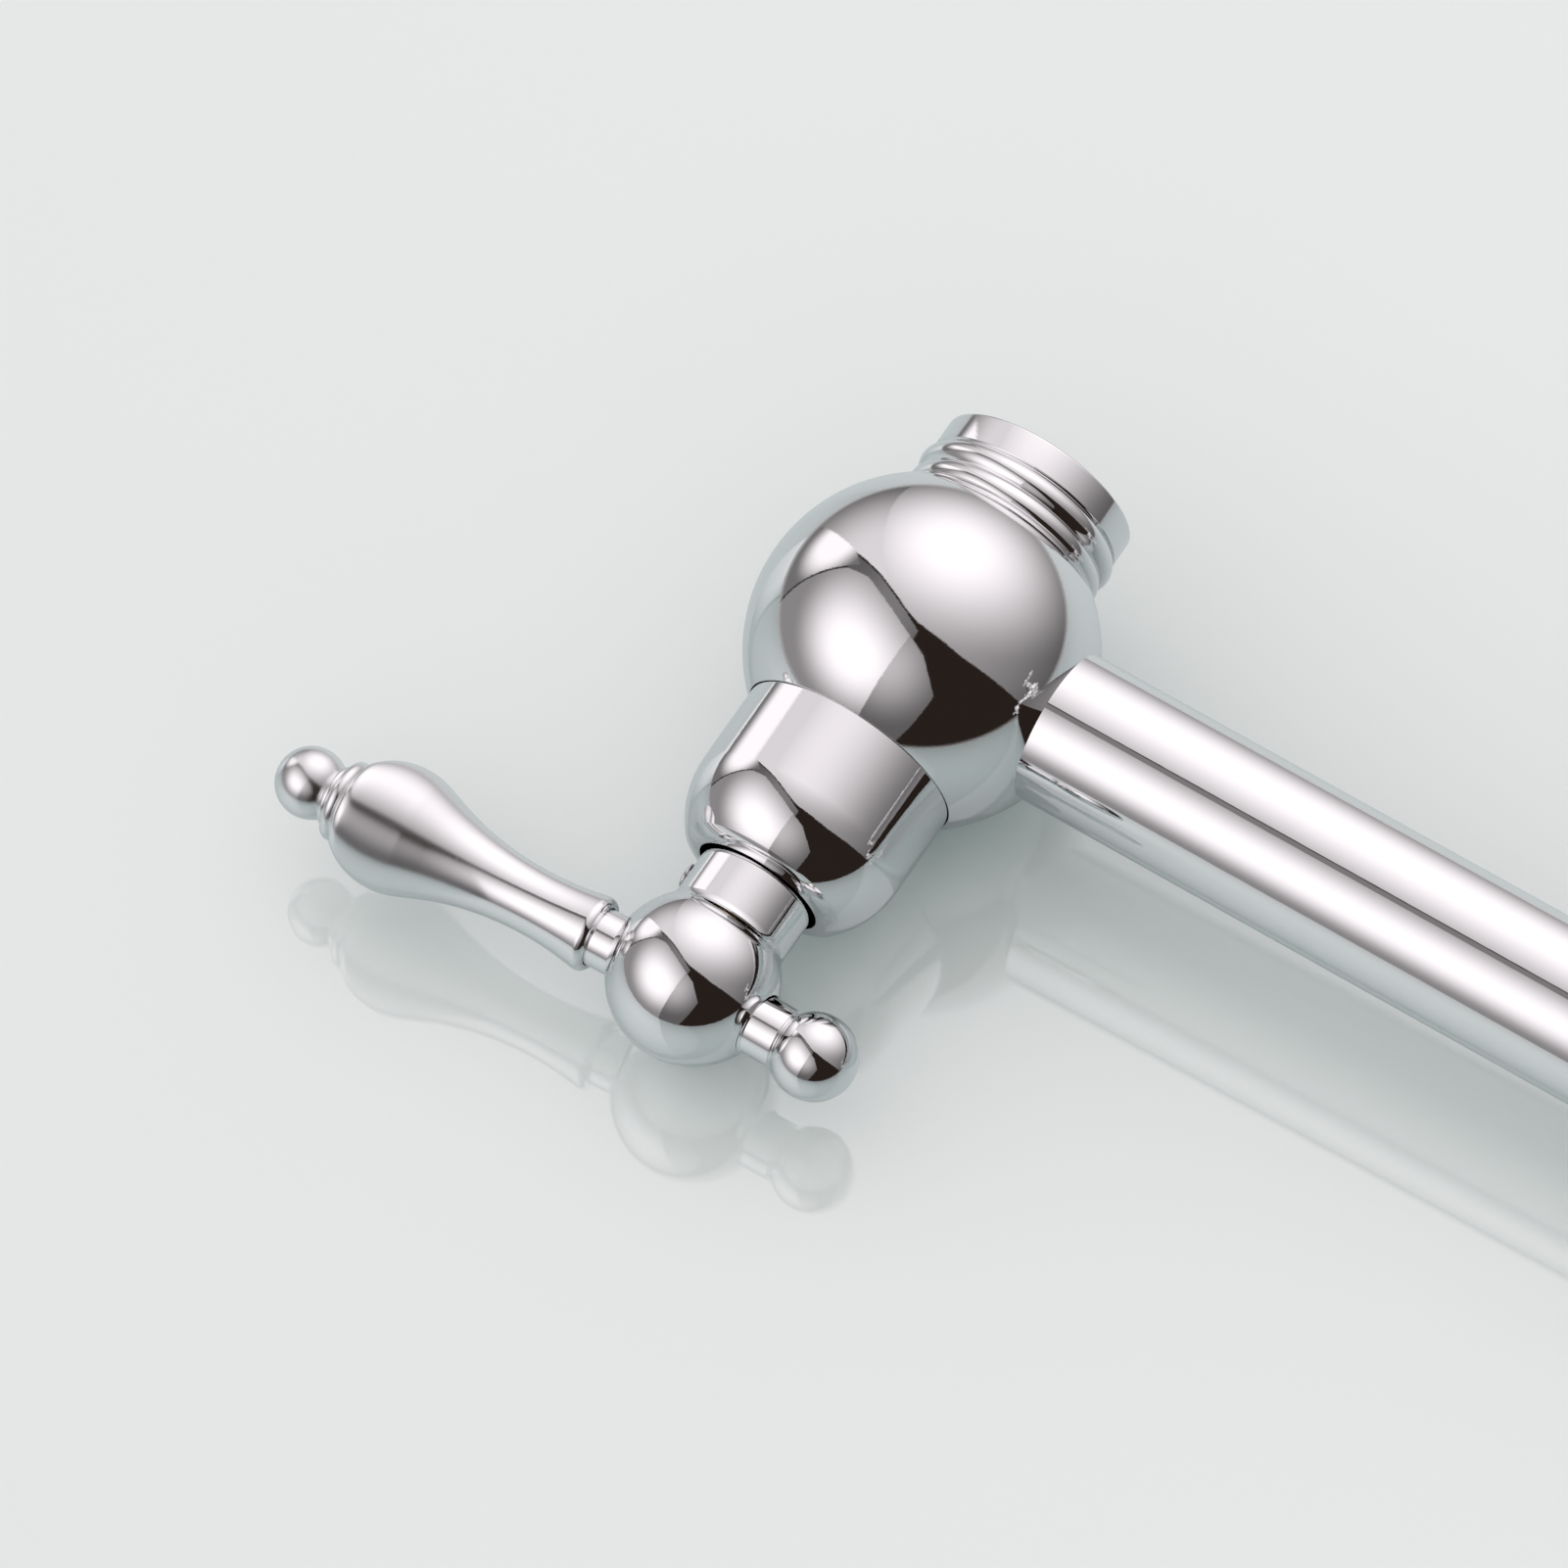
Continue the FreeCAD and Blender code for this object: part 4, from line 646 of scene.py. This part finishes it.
ELBOW, OUTLET = 220.0, 490.0
INNER_HEIGHT, OUTER_HEIGHT = 42.05, 86.05
GROOVE, SMALL_BEAD_BEND, BIG_BEAD_RISE = 14.6, 2.1, 0.85
BIG_BEAD_BEND = arc_to(BIG_BEAD_RISE, BIG_BEAD / 2)
RECESS = 16.02
RECESS_TOP = np.sqrt(BALL ** 2 - RECESS ** 2)
BONNET_SEAT = RECESS_TOP - 1.36
BOSS, BOSS_TOP = 13.8, BONNET_SEAT + 8
CARTRIDGE_HOLE = 9.1
CHAMBER, CHAMBER_TOP, CHAMBER_FLOOR = 13.0, 8.5, -2.0
SEAT, SEAT_BORE = -3.5, 6.0
THREAD_HOLE, THREAD_FLOOR = 12.1, 18.87
outlet_valve = placed(OUTLET, -REACH, OUTER_HEIGHT)
VALVES = {
    "wall": {"place": wall_valve, "body": "wall_body", "lever": "wall_lever"},
    "outlet": {"place": outlet_valve, "body": "outer_arm", "lever": "outlet_lever"},
}
for prefix, valve in VALVES.items():
    ball = turned(prefix + "_ball_plated", [
        (THREAD_HOLE, -COLLAR_FACE), (GROOVE, -COLLAR_FACE, BIG_BEAD_BEND),
        (GROOVE, -SMALL_BEAD_END, SMALL_BEAD_BEND), (COLLAR_BASE, -COLLAR_JOIN, BALL),
        (RECESS, RECESS_TOP), (RECESS, BONNET_SEAT), (BOSS, BONNET_SEAT), (BOSS, BOSS_TOP),
        (CARTRIDGE_HOLE, BOSS_TOP), (CARTRIDGE_HOLE, CHAMBER_TOP), (CHAMBER, CHAMBER_TOP),
        (CHAMBER, CHAMBER_FLOOR), (CARTRIDGE_HOLE, CHAMBER_FLOOR), (CARTRIDGE_HOLE, SEAT),
        (SEAT_BORE, SEAT), (SEAT_BORE, -THREAD_FLOOR), (THREAD_HOLE, -THREAD_FLOOR),
    ], valve["place"], edge=0.12, segments=192)
    plated(ball, valve["body"], prefix + "_ball")


# ---- Bonnets
# A turned and plated bell that screws on the ball's boss and hides the cartridge. The hub's neck
# turns in its opening, whose lip is thin.

BONNET, BONNET_WALL, OPENING, LIP = 15.9, 2.0, 9.3, 0.9
BONNET_TOP = BONNET_SEAT + 24.0
SKIRT_TOP = BONNET_SEAT + 13.35
DOME_ACROSS, DOME_RISE = 3.5, 9.42
DOME_TOP = SKIRT_TOP + DOME_RISE
LIP_BEND = arc_to(BONNET_TOP - DOME_TOP, BONNET - DOME_ACROSS - OPENING)
for prefix, valve in VALVES.items():
    bell = turned(prefix + "_bonnet_plated", [
        (BONNET - BONNET_WALL, BONNET_SEAT), (BONNET, BONNET_SEAT),
        (BONNET, SKIRT_TOP, arc_to(DOME_ACROSS, DOME_RISE)),
        (BONNET - DOME_ACROSS, DOME_TOP, LIP_BEND), (OPENING, BONNET_TOP),
        (OPENING, BONNET_TOP - LIP), (BONNET - BONNET_WALL, SKIRT_TOP + BONNET_WALL),
    ], valve["place"], edge=0.15, segments=192)
    plated(bell, valve["body"], prefix + "_bonnet")


# ---- Lever hubs
# A ball on a short neck, turned from brass and plated, with a rounded corner between them. It is
# cut flat where the ferrule and the counter knob stand on it.

HUB, NECK, NECK_SINK = 11.9, 8.6, 3.0
HUB_EDGE = 2.0
NECK_TOP = BONNET_TOP + 7.5
HUB_HEIGHT = NECK_TOP + np.sqrt(HUB ** 2 - NECK ** 2)
SPINDLE_HOLE, SPINDLE_HOLE_TOP = 3.95, HUB_HEIGHT - 4.5
LIFT, TILT = 1.1, 1.8
KNOB_STEM, KNOB_RING, KNOB_RELIEF = 4.33, 0.45, 0.27
FERRULE, SEAT_FLAT = 4.2, 0.5
FERRULE_HOLE = FERRULE + 0.1
KNOB_SEAT = np.sqrt(HUB ** 2 - (KNOB_STEM + KNOB_RING / 2) ** 2) - SEAT_FLAT
FERRULE_SEAT = np.sqrt(HUB ** 2 - FERRULE ** 2) - SEAT_FLAT
CUTTER_TOP = 20.0
ON_WALL, ON_FLAT, ABOVE_FLAT, CLEAR_OF_NECK = 0.02, 0.01, 0.001, 0.3
handle_way = placed(0, 0, HUB_HEIGHT + LIFT) @ about_y(90 - TILT)
knob_way = placed(0, 0, HUB_HEIGHT + LIFT) @ about_y(-90)


def read_out(items, what, width=1, kind=float):
    """One property of each of a mesh's items, as an array with a row for each item."""
    values = np.empty(len(items) * width, dtype=kind)
    items.foreach_get(what, values)
    return values.reshape(-1, width) if width > 1 else values


def hub(prefix, valve):
    """The turned ball and neck, less two cylinders that cut the flats.

    After the cuts, a corner on the ball gets the ball's own normal, (spot - centre) / radius, one
    on a flat gets the cutter's, and the others get the normal of the outline's nearest point.
    """
    curve = outline_curve([
        (SPINDLE_HOLE, BONNET_TOP - NECK_SINK), (NECK, BONNET_TOP - NECK_SINK),
        (NECK, NECK_TOP, HUB), (0, HUB_HEIGHT + HUB), (0, SPINDLE_HOLE_TOP),
        (SPINDLE_HOLE, SPINDLE_HOLE_TOP),
    ], HUB_EDGE)
    spots, out, faces = sweep_round(curve, 192)
    piece = new_mesh(prefix + "_hub_plated", spots, faces)
    cuts = []
    for way, radius, seat in (
        (knob_way, KNOB_STEM + KNOB_RELIEF, KNOB_SEAT), (handle_way, FERRULE_HOLE, FERRULE_SEAT),
    ):
        cutter = turned("cutter", [
            (0, seat), (radius, seat), (radius, CUTTER_TOP), (0, CUTTER_TOP),
        ], way, edge=0.0, segments=96)
        trim = piece.modifiers.new("flat", "BOOLEAN")
        trim.operation, trim.solver, trim.object = "DIFFERENCE", "EXACT", cutter
        cuts.append((cutter, way, radius, seat))
    view = bpy.context.evaluated_depsgraph_get()
    mesh = bpy.data.meshes.new_from_object(piece.evaluated_get(view))
    piece.modifiers.clear()
    piece.data = mesh
    for cutter, *_ in cuts:
        bpy.data.objects.remove(cutter)
    spot = read_out(mesh.vertices, "co", 3) * 1000
    corner = spot[read_out(mesh.loops, "vertex_index", kind=int)]
    size = read_out(mesh.polygons, "loop_total", kind=int)
    middle = np.repeat(read_out(mesh.polygons, "center", 3) * 1000, size, axis=0)
    flat = np.stack((np.hypot(corner[:, 0], corner[:, 1]), corner[:, 2]), axis=1)
    nearest = np.argmin(((flat[:, None] - curve[0][None]) ** 2).sum(axis=2), axis=1)
    side = curve[1][nearest]
    way_out = corner[:, :2] / np.maximum(flat[:, :1], ON_AXIS)
    normal = np.concatenate((way_out * side[:, :1], side[:, 1:]), axis=1)
    from_centre = corner - (0, 0, HUB_HEIGHT)
    reach = np.linalg.norm(from_centre, axis=1)
    on_ball = (np.abs(reach - HUB) < ON_WALL) & (corner[:, 2] > NECK_TOP + CLEAR_OF_NECK)
    normal[on_ball] = (from_centre / reach[:, None])[on_ball]
    for cutter, way, radius, seat in cuts:
        local = (middle - way[:3, 3]) @ way[:3, :3]
        here = (corner - way[:3, 3]) @ way[:3, :3]
        off = np.hypot(local[:, 0], local[:, 1])
        normal[(np.abs(local[:, 2] - seat) < ON_FLAT) & (off < radius)] = way[:3, 2]
        wall = (np.abs(off - radius) < ON_WALL) & (local[:, 2] > seat + ABOVE_FLAT)
        inward = -(here[:, :1] * way[:3, 0] + here[:, 1:2] * way[:3, 1])
        normal[wall] = (inward / np.linalg.norm(inward, axis=1, keepdims=True))[wall]
    place = valve["place"]
    mesh.vertices.foreach_set("co", (set_down(spot, place) * MM).ravel())
    mesh.polygons.foreach_set("use_smooth", np.ones(len(mesh.polygons), dtype=bool))
    mesh.normals_split_custom_set((normal @ place[:3, :3].T).tolist())
    mesh.update()
    plated(piece, valve["lever"], prefix + "_lever_hub")


for prefix, valve in VALVES.items():
    hub(prefix, valve)


# ---- Lever handles, ferrules and counter knobs
# Turned brass, plated. The ferrule fits into the hollow foot of the vase-shaped handle, and the
# small knob balances them on the other side. A stud through the hub holds all three.

LEVER = 60.4
STUD_HOLE, STUD_HOLE_END = 2.55, 25.0
SLEEVE, HOLLOW = 14.1, 17.5
SLEEVE_LIP = SLEEVE + 1.4
LIP_RADIUS, SLEEVE_LIP_BEND, SLEEVE_RADIUS = 4.95, 1.43, 5.47
FLARE_START, FLARE_END = LEVER - 28.4, LEVER - 20.9
FLARE_START_RADIUS, FLARE_END_RADIUS, FLARE_BEND = 5.21, 7.16, 41.0
WAIST_HALF = (FLARE_START - SLEEVE_LIP) / 2
WAIST_SAG = 0.73
SHOULDER, BELLY, VASE = 8.39, 9.05, 6.55
SHOULDER_AT, BELLY_AT = LEVER - 17.6, LEVER - 13.8
BELLY_RISE, BELLY_FALL = 3.8, 6.8
VASE_END = LEVER - 7.0
THIN_RING, LARGE_RING, SMALL_RING = 0.32, 2.05, 1.15
THIN_RING_RADIUS, LARGE_RING_FOOT, SMALL_RING_FOOT = 6.1, 5.1, 3.95
THIN_RING_END = VASE_END + THIN_RING
LARGE_RING_END = THIN_RING_END + LARGE_RING
SMALL_RING_END = LARGE_RING_END + SMALL_RING
END_BALL, END_NECK = 5.06, 3.75
KNOB, KNOB_REACH, KNOB_GROOVE = 6.07, 20.1, 4.0
KNOB_HOLE, KNOB_HOLE_END = 3.15, KNOB_SEAT + 7.6
KNOB_RING_END = KNOB_SEAT + KNOB_RING
STEM_TOP = KNOB_RING_END + 4.35
LEAN_GAIN, LEAN_POWER, LEAN_START = 58, 8, 18
DULL_MIDDLE = LEVER - 10.5
DULL_CORE, DULL_RIM, DULLING = 0.014, 0.029, 0.17


def bead(height):
    """Radius of a bead's arc: a little over half its height, so that it stands almost round."""
    return 0.52 * height


def buffed(spots, sides, closed):
    """Lays the belly's normals flatter: towards the end they lean at most -18 + 58 t^8 degrees.

    t goes from 0 at the widest point to 1 where the vase ends, and a lean of 0 is straight out.
    """
    arc = (spots[:, 1] > SHOULDER_AT) & (spots[:, 1] < VASE_END - 0.1) & (spots[:, 0] > VASE)
    t = np.clip((spots[arc, 1] - BELLY_AT) / BELLY_FALL, 0, 1)
    most = np.radians(LEAN_GAIN * t ** LEAN_POWER - LEAN_START)
    lean = np.minimum(np.arctan2(sides[arc, 1], sides[arc, 0]), most)
    sides[arc] = np.stack((np.cos(lean), np.sin(lean)), axis=1)
    return spots, sides, closed


def belly_chrome(name, middle):
    """The chrome plate, duller by a smooth step round the belly's middle, given in metres."""
    made = chrome.copy()
    made.name = name
    tree = made.node_tree
    rough = tree.nodes["Principled BSDF"].inputs["Roughness"]
    place = add_node(tree, "ShaderNodeTexCoord").outputs["Object"]
    off = add_node(tree, "ShaderNodeVectorMath", {"operation": "DISTANCE"}, {
        0: place, 1: middle,
    }).outputs["Value"]
    dull = add_node(tree, "ShaderNodeMapRange", {"interpolation_type": "SMOOTHSTEP"}, {
        "Value": off, "From Min": DULL_CORE, "From Max": DULL_RIM,
        "To Min": DULLING, "To Max": 0.0,
    }).outputs["Result"]
    added = add_node(tree, "ShaderNodeMath", {"operation": "ADD"}, {
        0: rough.links[0].from_socket, 1: dull,
    }).outputs["Value"]
    tree.links.new(added, rough)
    return made


for prefix, valve in VALVES.items():
    handle_place = valve["place"] @ handle_way
    plated(
        turned(prefix + "_ferrule_plated", [
            (STUD_HOLE, FERRULE_SEAT), (FERRULE, FERRULE_SEAT), (FERRULE, HOLLOW),
            (STUD_HOLE, HOLLOW),
        ], handle_place, edge=0.1),
        valve["lever"], prefix + "_lever_ferrule",
    )
    belly_middle = (handle_place @ (0, 0, DULL_MIDDLE, 1))[:3] * MM
    plated(
        turned(prefix + "_handle_plated", [
            (FERRULE_HOLE, SLEEVE), (LIP_RADIUS, SLEEVE, SLEEVE_LIP_BEND),
            (SLEEVE_RADIUS, SLEEVE_LIP, -arc_to(WAIST_SAG, WAIST_HALF)),
            (FLARE_START_RADIUS, FLARE_START, -FLARE_BEND), (FLARE_END_RADIUS, FLARE_END),
            (SHOULDER, SHOULDER_AT, arc_to(BELLY - SHOULDER, BELLY_RISE)),
            (BELLY, BELLY_AT, arc_to(BELLY - VASE, BELLY_FALL)), (VASE, VASE_END),
            (THIN_RING_RADIUS, VASE_END), (THIN_RING_RADIUS, THIN_RING_END),
            (LARGE_RING_FOOT, THIN_RING_END, bead(LARGE_RING)), (LARGE_RING_FOOT, LARGE_RING_END),
            (SMALL_RING_FOOT, LARGE_RING_END, bead(SMALL_RING)), (SMALL_RING_FOOT, SMALL_RING_END),
            (END_NECK, LEVER - np.sqrt(END_BALL ** 2 - END_NECK ** 2), END_BALL),
            (0, LEVER + END_BALL), (0, STUD_HOLE_END), (STUD_HOLE, STUD_HOLE_END),
            (STUD_HOLE, HOLLOW), (FERRULE_HOLE, HOLLOW),
        ], handle_place, edge=0.14, segments=144, polish=buffed),
        valve["lever"], prefix + "_lever_handle",
        finish=belly_chrome("polished chrome, " + prefix + " handle", tuple(belly_middle)),
    )
    plated(
        turned(prefix + "_knob_plated", [
            (KNOB_HOLE, KNOB_SEAT), (KNOB_STEM, KNOB_SEAT, bead(KNOB_RING)),
            (KNOB_STEM, KNOB_RING_END), (KNOB_STEM, STEM_TOP), (KNOB_GROOVE, STEM_TOP),
            (KNOB_GROOVE, KNOB_REACH - np.sqrt(KNOB ** 2 - KNOB_GROOVE ** 2), KNOB),
            (0, KNOB_REACH + KNOB), (0, KNOB_HOLE_END), (KNOB_HOLE, KNOB_HOLE_END),
        ], valve["place"] @ knob_way, edge=0.14, segments=144),
        valve["lever"], prefix + "_lever_knob",
    )


# ---- Hub screws
# A small stainless screw in each hub's neck, with a round plug for a head and a plain socket. It
# locks the hub to the spindle.

SCREW, SCREW_HEAD, SCREW_SOCKET = 1.45, 2.0, 0.9
HEAD_FOOT, HEAD_RIM, HEAD_TOP, SOCKET_FLOOR = NECK + 0.05, NECK + 0.3, NECK + 0.6, NECK - 0.5
SCREW_DROP = 3.75
steel = lively(
    "stainless steel", ((0.66, 0.66, 0.67), (0.55, 0.55, 0.56)), (0.12, 0.24), cloud=300.0,
    speck=3000.0, speck_level=0.66, bump=0.00001, speck_rough=0.2, metallic=1.0,
)
for prefix, valve in VALVES.items():
    screw_place = valve["place"] @ placed(0, 0, NECK_TOP - SCREW_DROP) @ about_y(90)
    plug = turned(prefix + "_hub_screw_turned", [
        (0, SPINDLE_HOLE), (SCREW, SPINDLE_HOLE), (SCREW, HEAD_FOOT), (SCREW_HEAD, HEAD_FOOT),
        (SCREW_HEAD, HEAD_RIM), (SCREW, HEAD_TOP), (SCREW_SOCKET, HEAD_TOP),
        (SCREW_SOCKET, SOCKET_FLOOR), (0, SOCKET_FLOOR),
    ], screw_place, edge=0.08, segments=48)
    plated(plug, valve["lever"], prefix + "_hub_screw", finish=steel, slot="stainless steel")


# ---- Swivel posts and caps
# Hollow turned posts that the arms swing on, plated, each closed by an acorn cap with a small ball
# finial. A bead hides the joint with the ball body, and the elbow's post has a drawn-in waist. The
# same acorn stands upside down under the elbow.

POST, POST_TOP = 8.5, 28.1
POST_BORE, POST_BORE_TOP = 5.5, 18.55
POST_BEAD, BEAD_FOOT = 2.8, 13.0
CAP_STUD, CAP_STUD_LENGTH = 6.0, 5.0
CAP_HOLE, CAP_HOLE_DEPTH = 6.1, 5.1
CAP_BEAD, CAP_DOME, CAP_DOME_END, CAP_DOME_HEIGHT = 2.0, 12.0, 3.45, 5.0
FINIAL_NECK, FINIAL_NECK_HEIGHT, FINIAL_NECK_BEND, FINIAL = 2.3, 1.15, 2.3, 3.2
WALL_POST_FOOT, ELBOW_FOOT, ELBOW_POST_FOOT = 28.0, 29.05, 72.0
COLUMN, COLUMN_BEAD, COLUMN_SAG = 16.95, 2.4, 2.4
SPIGOT, SPIGOT_LENGTH = 9.0, 7.0
TUBE, TUBE_BORE, TUBE_FLOOR, TUBE_SEAT = 11.0, 9.8, 14.9917, 12.8


def cap_outline():
    """Bead, dome and finial of an acorn cap, with its blind hole."""
    shoulder = CAP_BEAD + CAP_DOME_HEIGHT
    neck = shoulder + FINIAL_NECK_HEIGHT
    return [
        (CAP_HOLE, 0.0), (BEAD_FOOT, 0.0, bead(CAP_BEAD)), (BEAD_FOOT, CAP_BEAD),
        (CAP_DOME, CAP_BEAD, arc_to(CAP_DOME_HEIGHT, CAP_DOME - CAP_DOME_END)),
        (CAP_DOME_END, shoulder, -FINIAL_NECK_BEND), (FINIAL_NECK, neck, FINIAL),
        (0, neck + np.sqrt(FINIAL ** 2 - FINIAL_NECK ** 2) + FINIAL), (0, CAP_HOLE_DEPTH),
        (CAP_HOLE, CAP_HOLE_DEPTH),
    ]


def post_outline(foot):
    """Outline of a post above its foot: the plain shaft, the cap's stud and the water way."""
    return foot + [
        (POST, POST_TOP), (CAP_STUD, POST_TOP), (CAP_STUD, POST_TOP + CAP_STUD_LENGTH),
        (0, POST_TOP + CAP_STUD_LENGTH), (0, POST_BORE_TOP), (POST_BORE, POST_BORE_TOP),
    ]


wall_post_place = placed(0, -REACH, WALL_POST_FOOT)
elbow_place = placed(ELBOW, -REACH, ELBOW_FOOT)
elbow_post_place = placed(ELBOW, -REACH, ELBOW_POST_FOOT)
plated(
    turned("wall_post_plated", post_outline([
        (POST_BORE, TUBE_FLOOR - WALL_POST_FOOT), (TUBE, TUBE_FLOOR - WALL_POST_FOOT),
        (TUBE, -POST_BEAD), (BEAD_FOOT, -POST_BEAD, bead(POST_BEAD)), (BEAD_FOOT, 0), (POST, 0),
    ]), wall_post_place),
    "wall_body", "wall_post",
)
plated(
    turned("elbow_post_plated", post_outline([
        (POST_BORE, -COLUMN - SPIGOT_LENGTH), (SPIGOT, -COLUMN - SPIGOT_LENGTH),
        (SPIGOT, -COLUMN), (BEAD_FOOT, -COLUMN, bead(COLUMN_BEAD)),
        (BEAD_FOOT, COLUMN_BEAD - COLUMN, -arc_to(COLUMN_SAG, COLUMN / 2 - COLUMN_BEAD)),
        (BEAD_FOOT, -COLUMN_BEAD, bead(COLUMN_BEAD)), (BEAD_FOOT, 0), (POST, 0),
    ]), elbow_post_place),
    "inner_arm", "elbow_post",
)
upside_down = np.diag((1.0, -1.0, -1.0))
for name, body, place in (
    ("wall_cap", "wall_body", wall_post_place @ placed(0, 0, POST_TOP)),
    ("elbow_cap", "inner_arm", elbow_post_place @ placed(0, 0, POST_TOP)),
    ("elbow_finial", "inner_arm", elbow_place @ placed(0, 0, 0, upside_down)),
):
    plated(turned(name + "_plated", cap_outline(), place), body, name)


# ---- Knuckles and elbow
# Barrels with a bead at each end, cast, turned and plated. The two knuckles turn on the posts, and
# the elbow carries the second post on top of the inner arm.

KNUCKLE, KNUCKLE_END, KNUCKLE_BELLY, KNUCKLE_BEAD = 26.0, 13.9, 16.6, 2.4
KNUCKLE_FOOT, KNUCKLE_BORE = 1.05, POST + 0.05
KNUCKLE_CHAMBER, KNUCKLE_LAND = 11.2, 7.0
SPIGOT_HOLE, ELBOW_FLOOR = 9.1, 7.0


def barrel_side():
    """Outside of a barrel: a bead, a swelling arc and a bead."""
    swell = arc_to(KNUCKLE_BELLY - KNUCKLE_END, KNUCKLE / 2 - KNUCKLE_BEAD)
    return [
        (KNUCKLE_END, 0.0, bead(KNUCKLE_BEAD)), (KNUCKLE_END, KNUCKLE_BEAD, swell),
        (KNUCKLE_END, KNUCKLE - KNUCKLE_BEAD, bead(KNUCKLE_BEAD)), (KNUCKLE_END, KNUCKLE),
    ]


for name, body, place in (
    ("inner_knuckle", "inner_arm", wall_post_place),
    ("outer_knuckle", "outer_arm", elbow_post_place),
):
    barrel = turned(name + "_plated", [(KNUCKLE_BORE, 0.0)] + barrel_side() + [
        (KNUCKLE_BORE, KNUCKLE), (KNUCKLE_BORE, KNUCKLE - KNUCKLE_LAND),
        (KNUCKLE_CHAMBER, KNUCKLE - KNUCKLE_LAND), (KNUCKLE_CHAMBER, KNUCKLE_LAND),
        (KNUCKLE_BORE, KNUCKLE_LAND),
    ], place @ placed(0, 0, KNUCKLE_FOOT), segments=160)
    plated(barrel, body, name)
plated(
    turned("elbow_body_plated", [
        (0, -CAP_STUD_LENGTH), (CAP_STUD, -CAP_STUD_LENGTH), (CAP_STUD, 0.0),
    ] + barrel_side() + [
        (SPIGOT_HOLE, KNUCKLE), (SPIGOT_HOLE, ELBOW_FLOOR), (0, ELBOW_FLOOR),
    ], elbow_place, segments=160),
    "inner_arm", "elbow_body",
)


# ---- Arms
# Drawn brass tube, 22 mm across, polished along its length and plated. Its ends are soldered into
# the knuckles, the elbow and the outlet's ball body.

drawn_chrome = lively(
    "polished chrome tube", CHROME_COLOURS, CHROME_ROUGHNESS, cloud=60.0, speck=3000.0,
    speck_level=0.82, bump=0.000006, speck_rough=0.15, metallic=1.0, stretch=(0.12, 1.0, 1.0),
)
for name, body, start, end, height in (
    ("inner_tube", "inner_arm", TUBE_SEAT, ELBOW - TUBE_SEAT, INNER_HEIGHT),
    ("outer_tube", "outer_arm", ELBOW + TUBE_SEAT, OUTLET - TUBE_FLOOR, OUTER_HEIGHT),
):
    reach = end - start
    tube = turned(name + "_plated", [
        (TUBE_BORE, 0.0), (TUBE, 0.0), (TUBE, reach), (TUBE_BORE, reach),
    ], placed(start, -REACH, height) @ about_y(90), segments=192)
    plated(tube, body, name, finish=drawn_chrome)


# ---- Aerator
# A plated housing screws into the collar. It holds a rubber washer, a moulded insert with rings of
# jets, and a steel gauze.

COLLAR, AERATOR_BORE, AERATOR_LIP, AERATOR_LIP_HEIGHT = 14.8, 10.6, 9.6, 1.0
AERATOR_END = COLLAR_FACE + 4.7
plated(
    turned("aerator_housing_plated", [
        (AERATOR_LIP, -AERATOR_END), (COLLAR - ROUNDED, -AERATOR_END, ROUNDED_BEND),
        (COLLAR, ROUNDED - AERATOR_END), (COLLAR, -COLLAR_FACE - ROUNDED),
        (COLLAR - ROUNDED, -COLLAR_FACE), (THREAD, -COLLAR_FACE), (THREAD, -THREAD_END),
        (AERATOR_BORE, -THREAD_END), (AERATOR_BORE, AERATOR_LIP_HEIGHT - AERATOR_END),
        (AERATOR_LIP, AERATOR_LIP_HEIGHT - AERATOR_END),
    ], outlet_valve, edge=0.12, segments=160),
    "outer_arm", "aerator_housing",
)


# ---- Parts inside
# Brass cartridges and spindles, ceramic discs, rubber seals, plastic washers, the aerator's insert
# and gauze, the studs and the flange's set screw. Their shapes are the CAD's own, and they only
# get their finishes here.

rubber = lively(
    "black rubber", ((0.022, 0.022, 0.023), (0.035, 0.035, 0.036)), (0.55, 0.75),
    cloud=220.0, speck=2500.0, speck_level=0.6, bump=0.00003,
)
ceramic = lively(
    "white ceramic", ((0.86, 0.85, 0.82), (0.80, 0.79, 0.76)), (0.10, 0.20),
    cloud=120.0, speck=2000.0, speck_level=0.7, bump=0.000004,
)
slide = lively(
    "slide plastic", ((0.84, 0.83, 0.80), (0.76, 0.75, 0.72)), (0.35, 0.50),
    cloud=200.0, speck=2400.0, speck_level=0.65, bump=0.00001,
)
moulded = lively(
    "grey plastic", ((0.46, 0.47, 0.48), (0.40, 0.41, 0.42)), (0.30, 0.45),
    cloud=200.0, speck=2400.0, speck_level=0.65, bump=0.00001,
)
INSIDE = (
    (brass, ("wall_cartridge", "outlet_cartridge", "wall_spindle", "outlet_spindle")),
    (steel, ("wall_lever_stud", "outlet_lever_stud", "flange_setscrew", "aerator_gauze")),
    (ceramic, (
        "wall_fixed_disc", "wall_turning_disc", "outlet_fixed_disc", "outlet_turning_disc",
    )),
    (slide, (
        "wall_lower_washer", "wall_upper_washer", "elbow_lower_washer", "elbow_upper_washer",
    )),
    (moulded, ("aerator_insert",)),
    (rubber, (
        "shank_washer", "inlet_washer", "flange_gasket", "wall_cartridge_ring", "wall_seat_seal",
        "wall_swivel_rings", "elbow_swivel_rings", "outlet_cartridge_ring", "outlet_seat_seal",
        "aerator_washer",
    )),
)
for finish, names in INSIDE:
    for name in names:
        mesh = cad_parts[name].data
        mesh.materials.clear()
        mesh.materials.append(finish)
